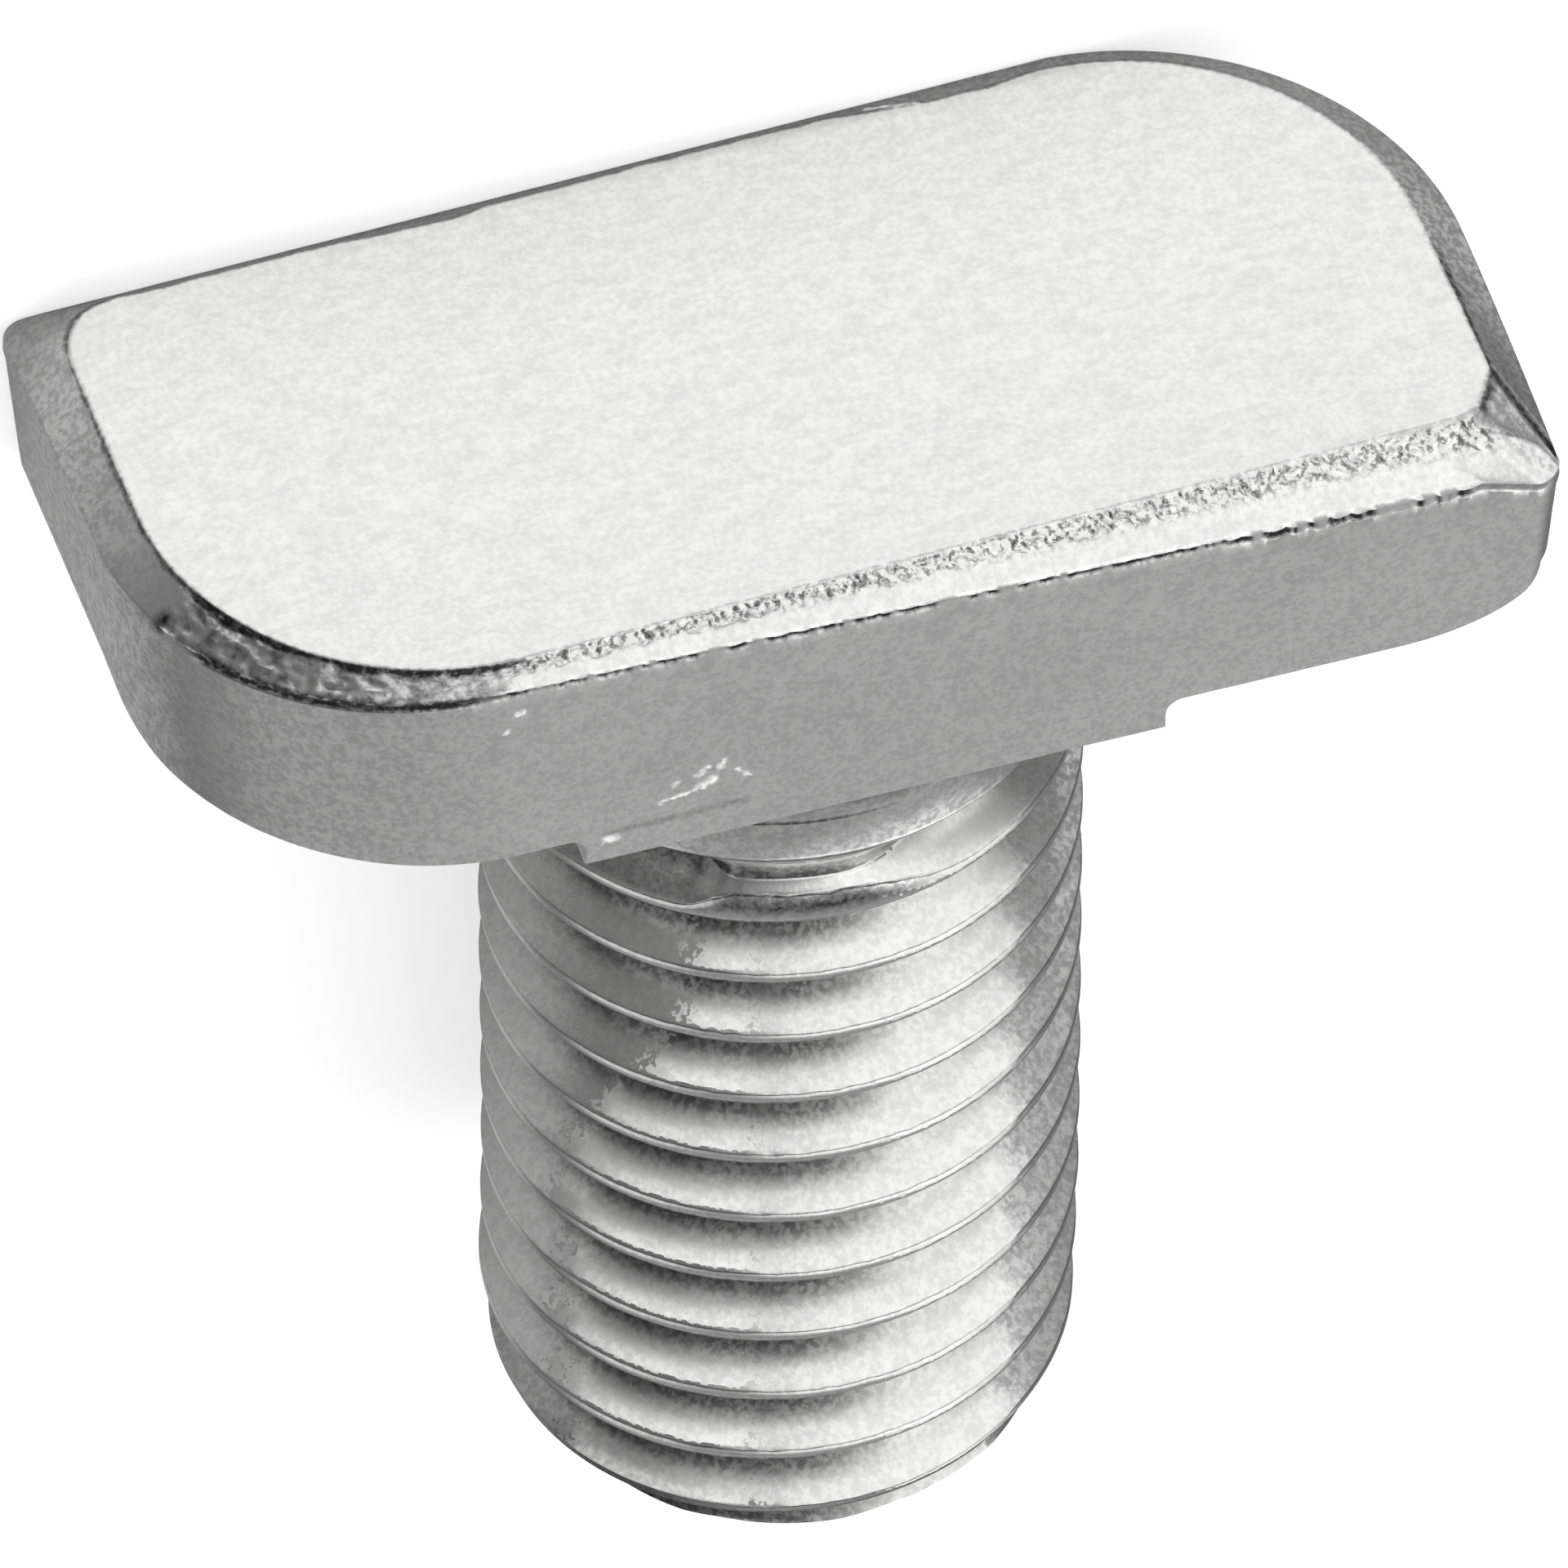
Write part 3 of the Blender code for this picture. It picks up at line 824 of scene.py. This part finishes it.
def thread_marks(line, point, cut):
    """The marks of a point of the thread, where the tip's taper cuts it back by the given depth."""
    unformed, scuffed = 1 - point.formed, line.scuffed * point.formed
    # Painted shade darkens the plain part and the groove left of the front under the neck, and the tip's rim on the
    # left; the first crest's rough wear and the scuffs darken it too
    wear_and_shade = 0.17 * unformed + 0.52 * point.rough + 0.34 * point.murk + 0.12 * scuffed
    wear_and_shade += 0.50 * line.rim * smooth_step(cut, 0.00003, 0.00025)
    wear_and_shade += 0.35 * line.rim * smooth_step(point.depth, 0.0176, 0.0188)
    polish_and_highlight = 0.0
    # The crests are rubbed bright, partly as a painted highlight: it is weaker at the front, where they get painted
    # shade instead
    if point.crease < 0:
        polish_and_highlight = point.formed * (1 - 0.9 * line.front_shade)
        wear_and_shade += 0.32 * point.formed * line.front_shade
    # Painted sheen, a highlight made by turning the shading normal towards the land: further down, more of each flank
    # on the left gets it, and so do the flanks right of the front
    begin = -15 - 31 * smooth_step(point.depth, 0.0060, 0.0118) + 5 * grain(line.spot(point.depth), 0.0006, 41.0)
    left = 0.72 * point.flank * between(line.facing, begin - 10, begin + 4, -14, 4)
    right = 0.60 * point.lower * point.formed * line.bright
    return {
        "crease": max(0.9 * point.crease, wear_and_shade),
        "crumbly": 0.30 * unformed + 0.75 * point.rough + 0.75 * point.murk + 0.30 * scuffed,
        "thread": point.formed * (1 - line.scuffed),
        "polish_and_highlight": polish_and_highlight * (1 - point.rough),
        "root": point.root,
        "sheen": max(left, right),
    }


def build_shank(shank, marks):
    """The plain part, the rolled thread and the tip, as one skin of lines that follow the helix."""
    start, end = -SINK, shank.length
    chamfer_start = shank.length - shank.tip_chamfer

    def tip_radius(depth):
        if depth <= chamfer_start:
            return shank.tip_diameter / 2 + (chamfer_start - depth) * math.tan(shank.tip_taper)
        share = (depth - chamfer_start) / (shank.length - chamfer_start)
        return shank.tip_diameter / 2 + (shank.end_diameter - shank.tip_diameter) / 2 * share

    first_turn = math.floor((start - shank.first_groove) / shank.pitch) - 1
    last_turn = math.ceil((end - shank.first_groove) / shank.pitch) + 3
    bm = bmesh.new()
    grid = []
    for i in range(shank.columns + 1):
        line = ShankLine(math.tau * i / shank.columns)
        points = thread_points(shank, line, range(first_turn, last_turn))
        column = []
        for point in points:
            depth = min(max(point.depth, start), end)
            if depth != point.depth:
                point = point._replace(depth=depth, radius=radius_at(points, depth), crease=0.0, root=0.0)
            radius, spot = point.radius, line.spot(depth)
            if 0 < depth < end:
                radius += 0.000004 * grain(spot, 0.0009, 21.0) + 0.000002 * grain(spot, 0.0003, 22.0) - 0.000006
                radius -= point.rough * 0.000035 * (0.6 + crumbs(spot, 0.00018, 24.0))
                radius -= (1 - point.formed) * 0.000006 * (0.5 + crumbs(spot, 0.00020, 25.0))
            limited = min(radius, tip_radius(depth))
            lean = shank.tip_lean * smooth_step(depth, 0.72 * shank.length, shank.length)
            place = (limited * line.cosine - lean, limited * line.sine, -depth)
            column.append(bm.verts.new(place))
            marks.note(place, **thread_marks(line, point, radius - limited))
        grid.append(column)
    for column, beside in zip(grid, grid[1:]):
        for upper, lower, next_upper, next_lower in zip(column, column[1:], beside, beside[1:]):
            bm.faces.new((upper, lower, next_lower, next_upper))
    bmesh.ops.remove_doubles(bm, verts=bm.verts, dist=3e-8)
    loops = [edge for edge in bm.edges if len(edge.link_faces) == 1]
    bmesh.ops.holes_fill(bm, edges=loops, sides=0)
    bmesh.ops.dissolve_degenerate(bm, edges=bm.edges, dist=1e-8)
    bmesh.ops.recalc_face_normals(bm, faces=bm.faces)
    return mesh_object("bolt_shank", bm)


# How the bolt lies: its tilt, how far the bearing face is from the CAD box's head end, and its axis' height there
REST_TILT, REST_FACE, REST_HEIGHT = math.radians(0.909), 0.0042945, 0.0052634


def rest_matrix():
    """Lays the bolt where the CAD part lies, with its shank along +X."""
    low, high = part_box(BOLT_NODE)
    on_side = Matrix(((0, 0, -1), (1, 0, 0), (0, -1, 0))).to_4x4()
    matrix = Matrix.Rotation(-REST_TILT, 4, "Y") @ on_side
    matrix.translation = Vector((low.x + REST_FACE, (low.y + high.y) / 2, REST_HEIGHT))
    return matrix


class Nodes:
    """A short way to add and link shader nodes."""

    def __init__(self, tree):
        self.tree = tree

    def add(self, kind, **settings):
        node = self.tree.nodes.new(kind)
        for name, value in settings.items():
            if name in node.inputs:
                node.inputs[name].default_value = value
            else:
                setattr(node, name, value)
        return node

    def link(self, source, target):
        self.tree.links.new(source, target)

    def vector(self, operation, one, other, output="Vector"):
        """Vector maths on a socket and a socket or a vector."""
        node = self.tree.nodes.new("ShaderNodeVectorMath")
        node.operation = operation
        self.link(one, node.inputs[0])
        if isinstance(other, Vector):
            node.inputs[1].default_value = other
        else:
            self.link(other, node.inputs[1])
        return node.outputs[output]

    def math(self, operation, one, other, clamp=False):
        node = self.tree.nodes.new("ShaderNodeMath")
        node.operation = operation
        node.use_clamp = clamp
        for socket, value in zip(node.inputs, (one, other)):
            if isinstance(value, (int, float)):
                socket.default_value = value
            else:
                self.link(value, socket)
        return node.outputs[0]

    def span(self, value, low, high, to_low, to_high):
        """Maps low to high smoothly onto to_low to to_high, and holds beyond both."""
        node = self.tree.nodes.new("ShaderNodeMapRange")
        node.interpolation_type = "SMOOTHSTEP"
        self.link(value, node.inputs["Value"])
        for name, number in (("From Min", low), ("From Max", high), ("To Min", to_low), ("To Max", to_high)):
            node.inputs[name].default_value = number
        return node.outputs[0]

    def noise(self, place, pitch, detail, roughness, stretch=None):
        """Noise with bumps of the given pitch. stretch is a scale and a rotation of the place."""
        if stretch:
            mapping = self.add("ShaderNodeMapping", Scale=stretch[0], Rotation=stretch[1])
            self.link(place, mapping.inputs["Vector"])
            place = mapping.outputs[0]
        node = self.add("ShaderNodeTexNoise", Scale=1 / pitch, Detail=detail, Roughness=roughness)
        self.link(place, node.inputs["Vector"])
        return node.outputs["Fac"]

    def mix(self, factor, one, other):
        """A mix of two colours, each a socket or a plain colour."""
        node = self.tree.nodes.new("ShaderNodeMix")
        node.data_type = "RGBA"
        self.link(factor, node.inputs[0])
        for socket, value in ((node.inputs[6], one), (node.inputs[7], other)):
            if hasattr(value, "node"):
                self.link(value, socket)
            else:
                socket.default_value = (*value, 1)
        return node.outputs[2]


# Small bright nicks, from and to, as (x, y, z) on the bolt, with their half width
NEAR = -0.0052
NICKS = (
    ((-0.00362, NEAR, 0.00046), (-0.00300, NEAR, 0.00060), 0.000070),
    ((-0.00296, NEAR, 0.00062), (-0.00272, NEAR, 0.00076), 0.000130),
    ((-0.00300, NEAR, 0.00092), (-0.00282, NEAR, 0.00105), 0.000085),
    ((-0.00262, NEAR, 0.00100), (-0.00255, NEAR, 0.00112), 0.000100),
    ((-0.00232, NEAR, 0.00085), (-0.00212, NEAR, 0.00064), 0.000075),
    ((-0.00340, NEAR, 0.00078), (-0.00334, NEAR, 0.00084), 0.000090),
    ((-0.00598, NEAR, 0.00342), (-0.00590, NEAR, 0.00345), 0.000110),
    ((-0.00618, NEAR, 0.00302), (-0.00614, NEAR, 0.00306), 0.000080),
    ((-0.00452, NEAR, -0.00012), (-0.00440, NEAR, -0.00012), 0.000150),
    ((0.00300, 0.00490, 0.00412), (0.00375, 0.00470, 0.00420), 0.000130),
    ((-0.01047, -0.00163, 0.00412), (-0.01013, -0.00258, 0.00410), 0.000070),
    ((-0.01013, -0.00258, 0.00410), (-0.00998, -0.00289, 0.00406), 0.000090),
    ((-0.00969, -0.00256, 0.00412), (-0.00947, -0.00315, 0.00406), 0.000060),
    ((-0.00871, -0.00395, 0.00412), (-0.00840, -0.00467, 0.00404), 0.000070),
    ((-0.00788, -0.00471, 0.00410), (-0.00790, -0.00487, 0.00406), 0.000100),
    ((-0.00765, -0.00475, 0.00410), (-0.00766, -0.00494, 0.00406), 0.000100),
    ((-0.00907, -0.00437, 0.00222), (-0.00894, -0.00445, 0.00192), 0.000070),
)

# A faint dark line where the neck meets the head's near side
NECK_LINE = ((-0.00455, NEAR, 0.00002), (-0.00215, NEAR, 0.00006), 0.000110)

# Pitches of the plating's noises, and how wisps are drawn out
FINE, FLECK, CLOUD, WISP, RUBBLE, RAGGED = 0.00012, 0.00030, 0.0019, 0.00020, 0.000115, 0.00012
WISP_STRETCH = ((1.0, 0.32, 0.9), (math.radians(-38), 0, 0))

# How far nicks wander from their straight strokes
WANDER = 0.00008

# On the bolt's axes: painted sheens lean the shading normal towards the land, and a nick's floor is a small facet that
# faces up the side
SHEEN_FACING, NICK_FACING = Vector((0.0, -0.47, 0.88)), Vector((0.0, -0.875, 0.485))


class ZincNodes(Nodes):
    """The plating's shader nodes: the marks on the mesh, the noises, and what is made of them."""

    def __init__(self, tree):
        super().__init__(tree)
        self.bolt_frame = rest_matrix()
        self.place = self.add("ShaderNodeTexCoord").outputs["Object"]
        self.marks = {}
        for mark in MARKS:
            attribute = self.add("ShaderNodeAttribute")
            attribute.attribute_name = mark
            self.marks[mark] = attribute.outputs["Fac"]
        self.fine = self.noise(self.place, FINE, 3.0, 0.6)
        self.fleck = self.noise(self.place, FLECK, 3.0, 0.55)
        self.rubble = self.noise(self.place, RUBBLE, 2.5, 0.6)
        self.mottle = self.math("ADD", self.math("MULTIPLY", self.fleck, 0.32), self.math("MULTIPLY", self.fine, 0.68))
        # The mottle is calm on the land and the rolled flanks, and lively on the sides
        thread = self.math("MULTIPLY", self.marks["thread"], 0.8)
        self.calm = self.math("MAXIMUM", self.marks["land"], thread, clamp=True)
        self.lively = self.span(self.calm, 0.0, 1.0, 1.0, 0.30)

    def stroke(self, place, start, end, width):
        """A mask that is highest along a straight stroke on the bolt and fades out about its width away."""
        start = self.bolt_frame @ Vector(start)
        run = self.bolt_frame @ Vector(end) - start
        off = self.vector("SUBTRACT", place, start)
        share = self.math("ADD", self.vector("DOT_PRODUCT", off, run / run.length_squared, "Value"), 0.0, clamp=True)
        along = self.add("ShaderNodeVectorMath", operation="SCALE")
        along.inputs[0].default_value = run
        self.link(share, along.inputs["Scale"])
        gap = self.vector("DISTANCE", off, along.outputs[0], "Value")
        return self.span(gap, 0.1 * width, 1.15 * width, 0.62, 0.0)

    def tint(self, finish):
        """The clean plating: dull in its flecks, rubbed bright on the crests, which is partly a painted highlight."""
        wisps = self.noise(self.place, WISP, 3.0, 0.55, WISP_STRETCH)
        dulled = self.math("MULTIPLY", self.span(self.mottle, 0.40, 0.60, 0.0, 0.72), self.lively)
        wisp = self.math("MULTIPLY", self.span(wisps, 0.40, 0.62, 0.0, 0.14), self.marks["land"])
        clean = self.mix(self.math("ADD", dulled, wisp, clamp=True), finish.plating, finish.dull)
        return self.mix(self.marks["polish_and_highlight"], clean, finish.polished_and_highlit)

    def grime_and_shade_mask(self):
        """Where it darkens: creases, which carry painted shade too, the thread's roots, which are painted shade,
        crumbs, and faintly along the neck.
        """
        crumbled = self.math("MULTIPLY", self.span(self.rubble, 0.47, 0.64, 0.0, 0.72), self.marks["crumbly"])
        # The roots' mark is painted shade, and the creases' mark carries painted shade too
        creased_and_shaded = self.math("MAXIMUM", self.marks["crease"], self.math("MULTIPLY", self.marks["root"], 0.76))
        neck_line = self.math("MULTIPLY", self.stroke(self.place, *NECK_LINE), 0.45)
        creased_and_shaded = self.math("MAXIMUM", creased_and_shaded, neck_line)
        uneven = self.math("MULTIPLY", self.span(self.fine, 0.4, 0.6, -0.15, 0.15), creased_and_shaded)
        return self.math("MAXIMUM", self.math("ADD", creased_and_shaded, uneven), crumbled, clamp=True)

    def roughness(self, finish):
        cloud = self.noise(self.place, CLOUD, 3.0, 0.5)
        level = self.span(self.calm, 0.0, 1.0, finish.roughness, finish.rolled_roughness)
        uneven = self.math("MULTIPLY", self.span(self.mottle, 0.38, 0.62, -0.05, 0.09), self.lively)
        return self.math("ADD", self.math("ADD", level, uneven), self.span(cloud, 0.3, 0.7, -0.02, 0.03))

    def bumpy(self):
        """The shading normal over the plating's grain and the crumbs."""
        height = self.math("ADD", self.math("MULTIPLY", self.fine, 0.55), self.math("MULTIPLY", self.fleck, 0.45))
        height = self.math("MULTIPLY", height, self.lively)
        crumbled = self.math("MULTIPLY", self.math("MULTIPLY", self.rubble, self.marks["crumbly"]), 1.2)
        bump = self.add("ShaderNodeBump", Strength=0.32, Distance=0.00003)
        self.link(self.math("ADD", height, crumbled), bump.inputs["Height"])
        return bump.outputs[0]

    def sheen(self):
        """Where a painted sheen lies. On the thread it breaks up into grains where it begins."""
        mark, thread = self.marks["sheen"], self.marks["thread"]
        grains = self.math("ADD", mark, self.span(self.mottle, 0.40, 0.60, -0.2, 0.2))
        broken = self.math("MULTIPLY", self.span(grains, 0.22, 0.36, 0.0, 1.0), self.math("MAXIMUM", mark, 0.6))
        whole = self.math("MULTIPLY", mark, self.math("SUBTRACT", 1.0, thread, clamp=True))
        return self.math("MAXIMUM", self.math("MULTIPLY", broken, thread), whole)

    def nicked(self):
        """Where the nicks are, with ragged outlines."""
        ragged = self.add("ShaderNodeTexNoise", Scale=1 / RAGGED)
        self.link(self.place, ragged.inputs["Vector"])
        shift = self.add("ShaderNodeVectorMath", operation="MULTIPLY_ADD")
        self.link(ragged.outputs["Color"], shift.inputs[0])
        shift.inputs[1].default_value = Vector((2, 2, 2)) * WANDER
        self.link(self.place, shift.inputs[2])
        place = self.vector("SUBTRACT", shift.outputs[0], Vector((1, 1, 1)) * WANDER)
        mask = self.stroke(place, *NICKS[0])
        for nick in NICKS[1:]:
            mask = self.math("MAXIMUM", mask, self.stroke(place, *nick))
        return mask

    def leaning(self, normal, mask, facing):
        """The normal, turned where the mask is towards a direction on the bolt."""
        lean = self.add("ShaderNodeMix", data_type="VECTOR")
        self.link(mask, lean.inputs[0])
        self.link(normal, lean.inputs[4])
        lean.inputs[5].default_value = self.bolt_frame.to_3x3() @ facing
        even = self.add("ShaderNodeVectorMath", operation="NORMALIZE")
        self.link(lean.outputs[1], even.inputs[0])
        return even.outputs[0]


def zinc_plating(finish):
    """Zinc plating: mottled and finely grained, dull in its flecks, grimy in creases and pits, with painted shade and
    painted sheens.
    """
    material = bpy.data.materials.new("zinc_plating")
    material.use_nodes = True
    shader = material.node_tree.nodes["Principled BSDF"]
    zinc = ZincNodes(material.node_tree)
    zinc.link(zinc.mix(zinc.grime_and_shade_mask(), zinc.tint(finish), finish.grime_and_shade), shader.inputs["Base Color"])
    zinc.link(zinc.roughness(finish), shader.inputs["Roughness"])
    # Painted sheen: the shading normal turns towards the land where the sheen mark lies, and towards a nick's facet
    # where the nicks are
    normal = zinc.leaning(zinc.bumpy(), zinc.sheen(), SHEEN_FACING)
    zinc.link(zinc.leaning(normal, zinc.nicked(), NICK_FACING), shader.inputs["Normal"])
    shader.inputs["Metallic"].default_value = 0.94
    return material


class HAMMERBOLT_OT_build_bolt(Operator):
    """Builds the bolt with its worn head and rolled thread, in zinc-plated steel"""

    bl_idname = "hammerbolt.build_bolt"
    bl_label = "Build bolt"

    def execute(self, context):
        scene = context.scene
        marks = Marks()
        bolt = build_head(scene.hammerbolt_head, marks)
        combine(bolt, build_shank(scene.hammerbolt_shank, marks), "UNION")
        marks.put_back(bolt.data)
        bolt.name = "bolt"
        bolt.data.materials.clear()
        bolt.data.materials.append(zinc_plating(scene.hammerbolt_finish))
        bolt.data.shade_smooth()
        bolt.data.set_sharp_from_angle(angle=SHARP_ANGLE)
        # Crumbs shade as soft lumps
        crumbly = bolt.data.attributes["crumbly"].data
        sharp = bolt.data.attributes["sharp_edge"].data
        for edge in bolt.data.edges:
            if sharp[edge.index].value and min(crumbly[vert].value for vert in edge.vertices) > 0.1:
                sharp[edge.index].value = False
        bolt.data.transform(rest_matrix())
        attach(bolt, "root")
        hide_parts(BOLT_NODE)
        return {"FINISHED"}


def pale_floor(studio):
    """A matt pale floor, lifted to white where it is seen, so that only the shadow shows on it.

    What the metal mirrors of it is a painted reflection: white just before the land, and dimmed further out.
    """
    material = bpy.data.materials.new("pale_floor")
    material.use_nodes = True
    tree = material.node_tree
    nodes = Nodes(tree)
    matt = tree.nodes["Principled BSDF"]
    matt.inputs["Roughness"].default_value = 0.9
    matt.inputs["Specular IOR Level"].default_value = 0.1
    path = nodes.add("ShaderNodeLightPath").outputs
    place = nodes.add("ShaderNodeTexCoord").outputs["Object"]
    axes = nodes.add("ShaderNodeSeparateXYZ")
    nodes.link(place, axes.inputs[0])

    # The painted reflection: a white strip before the land, and the dimming from the bolt outwards, which only the
    # metal sees
    before = nodes.span(axes.outputs["X"], -0.0127, -0.0121, 1.0, 0.0)
    before = nodes.math("MULTIPLY", before, nodes.span(axes.outputs["X"], -0.055, -0.032, 0.0, 1.0))
    before = nodes.math("MULTIPLY", before, nodes.span(axes.outputs["Y"], -0.016, -0.011, 0.0, 1.0))
    reach = nodes.add("ShaderNodeVectorMath", operation="LENGTH")
    nodes.link(place, reach.inputs[0])
    dimmed_in_reflection = nodes.span(reach.outputs["Value"], 0.013, 0.034, 0.28, 1.0)
    dimmed_in_reflection = nodes.math("MULTIPLY", dimmed_in_reflection, path["Is Glossy Ray"])
    dimmed_in_reflection = nodes.math("MULTIPLY", dimmed_in_reflection, nodes.math("SUBTRACT", 1.0, before))
    dim = [FLOOR_DIM * value for value in studio.floor]
    nodes.link(nodes.mix(dimmed_in_reflection, studio.floor, dim), matt.inputs["Base Color"])

    mirrored = nodes.math("MULTIPLY", nodes.math("MULTIPLY", path["Is Glossy Ray"], before), FLOOR_MIRRORED)
    seen = nodes.math("MAXIMUM", path["Is Camera Ray"], path["Is Transmission Ray"])
    seen = nodes.math("MAXIMUM", seen, mirrored)
    lift = nodes.add("ShaderNodeEmission")
    nodes.link(nodes.math("MULTIPLY", seen, studio.floor_lift), lift.inputs["Strength"])
    both = nodes.add("ShaderNodeAddShader")
    nodes.link(matt.outputs[0], both.inputs[0])
    nodes.link(lift.outputs[0], both.inputs[1])
    nodes.link(both.outputs[0], tree.nodes["Material Output"].inputs["Surface"])
    return material


def round_floor(studio):
    mesh = bpy.data.meshes.new("floor")
    turns = [math.tau * i / FLOOR_SIDES for i in range(FLOOR_SIDES)]
    rim = [(studio.floor_radius * math.cos(a), studio.floor_radius * math.sin(a), 0) for a in turns]
    mesh.from_pydata(rim, [], [tuple(range(FLOOR_SIDES))])
    floor = bpy.data.objects.new("floor", mesh)
    bpy.context.scene.collection.objects.link(floor)
    floor.data.materials.append(pale_floor(studio))
    return floor


def studio_world(studio):
    """A dim room with soft glows in place of lamps. The camera sees it as white as the floor."""
    world = bpy.data.worlds.new("studio")
    world.use_nodes = True
    nodes = Nodes(world.node_tree)
    toward = nodes.add("ShaderNodeTexCoord").outputs["Generated"]
    level = studio.room_level
    for setting, direction, inner, outer in GLOWS:
        near_middle = nodes.vector("DOT_PRODUCT", toward, Vector(direction).normalized(), "Value")
        cosines = math.cos(math.radians(outer)), math.cos(math.radians(inner))
        level = nodes.math("ADD", nodes.span(near_middle, *cosines, 0.0, getattr(studio, setting)), level)
    background = world.node_tree.nodes["Background"]
    background.inputs["Color"].default_value = (1, 1, 1, 1)
    seen = nodes.add("ShaderNodeLightPath").outputs["Is Camera Ray"]
    nodes.link(nodes.math("MAXIMUM", level, seen), background.inputs["Strength"])
    return world


def studio_camera(distance, land_height):
    """The camera, at the photograph's angle to the bolt's own axes, aimed at about the land's middle."""
    sin_e, cos_e = math.sin(CAMERA_ELEVATION), math.cos(CAMERA_ELEVATION)
    sin_h, cos_h = math.sin(CAMERA_HEADING), math.cos(CAMERA_HEADING)
    back = Vector((-sin_h * cos_e, -cos_h * cos_e, sin_e))
    right = Vector((cos_h, -sin_h, 0))
    up = back.cross(right)
    place = Vector((0, 0, land_height)) + back * distance
    look = (-back + up * AIM_UP + right * AIM_RIGHT).normalized()
    right = look.cross(up).normalized()
    up = right.cross(look)
    data = bpy.data.cameras.new("camera")
    data.sensor_width = 36
    data.lens = CAMERA_LENS
    data.clip_start = 0.01
    data.clip_end = 20
    camera = bpy.data.objects.new("camera", data)
    bpy.context.scene.collection.objects.link(camera)
    axes = Matrix((right, up, -look)).transposed().to_4x4()
    camera.matrix_world = rest_matrix() @ Matrix.Translation(place) @ axes
    return camera


class HAMMERBOLT_OT_build_stage(Operator):
    """Builds the pale floor, the soft studio light and the camera"""

    bl_idname = "hammerbolt.build_stage"
    bl_label = "Build stage"

    def execute(self, context):
        scene = context.scene
        studio = scene.hammerbolt_studio
        round_floor(studio)
        scene.world = studio_world(studio)
        scene.camera = studio_camera(studio.camera_distance, scene.hammerbolt_head.height)
        scene.view_settings.view_transform = "Standard"
        return {"FINISHED"}


class HAMMERBOLT_PT_sidebar(Panel):
    """Lists the sizes and colours, and what builds the bolt and its stage"""

    bl_idname = "HAMMERBOLT_PT_sidebar"
    bl_label = "Hammer head bolt"
    bl_space_type = "VIEW_3D"
    bl_region_type = "UI"
    bl_category = "Bolt"

    def draw(self, context):
        layout = self.layout
        for title, group in (
            ("Head", context.scene.hammerbolt_head),
            ("Shank", context.scene.hammerbolt_shank),
            ("Finish", context.scene.hammerbolt_finish),
            ("Studio", context.scene.hammerbolt_studio),
        ):
            box = layout.box()
            box.label(text=title)
            for name in group.__annotations__:
                box.prop(group, name)
        layout.operator(HAMMERBOLT_OT_build_bolt.bl_idname)
        layout.operator(HAMMERBOLT_OT_build_stage.bl_idname)


GROUPS = {
    "hammerbolt_head": HammerHeadSizes,
    "hammerbolt_shank": ThreadedShankSizes,
    "hammerbolt_finish": ZincFinish,
    "hammerbolt_studio": StudioSettings,
}
CLASSES = (*GROUPS.values(), HAMMERBOLT_OT_build_bolt, HAMMERBOLT_OT_build_stage, HAMMERBOLT_PT_sidebar)


def register():
    for cls in CLASSES:
        bpy.utils.register_class(cls)
    for name, group in GROUPS.items():
        setattr(bpy.types.Scene, name, PointerProperty(type=group))


def unregister():
    for name in GROUPS:
        delattr(bpy.types.Scene, name)
    for cls in reversed(CLASSES):
        bpy.utils.unregister_class(cls)


def main():
    register()
    bpy.ops.hammerbolt.build_bolt()
    bpy.ops.hammerbolt.build_stage()


if __name__ == "__main__":
    main()
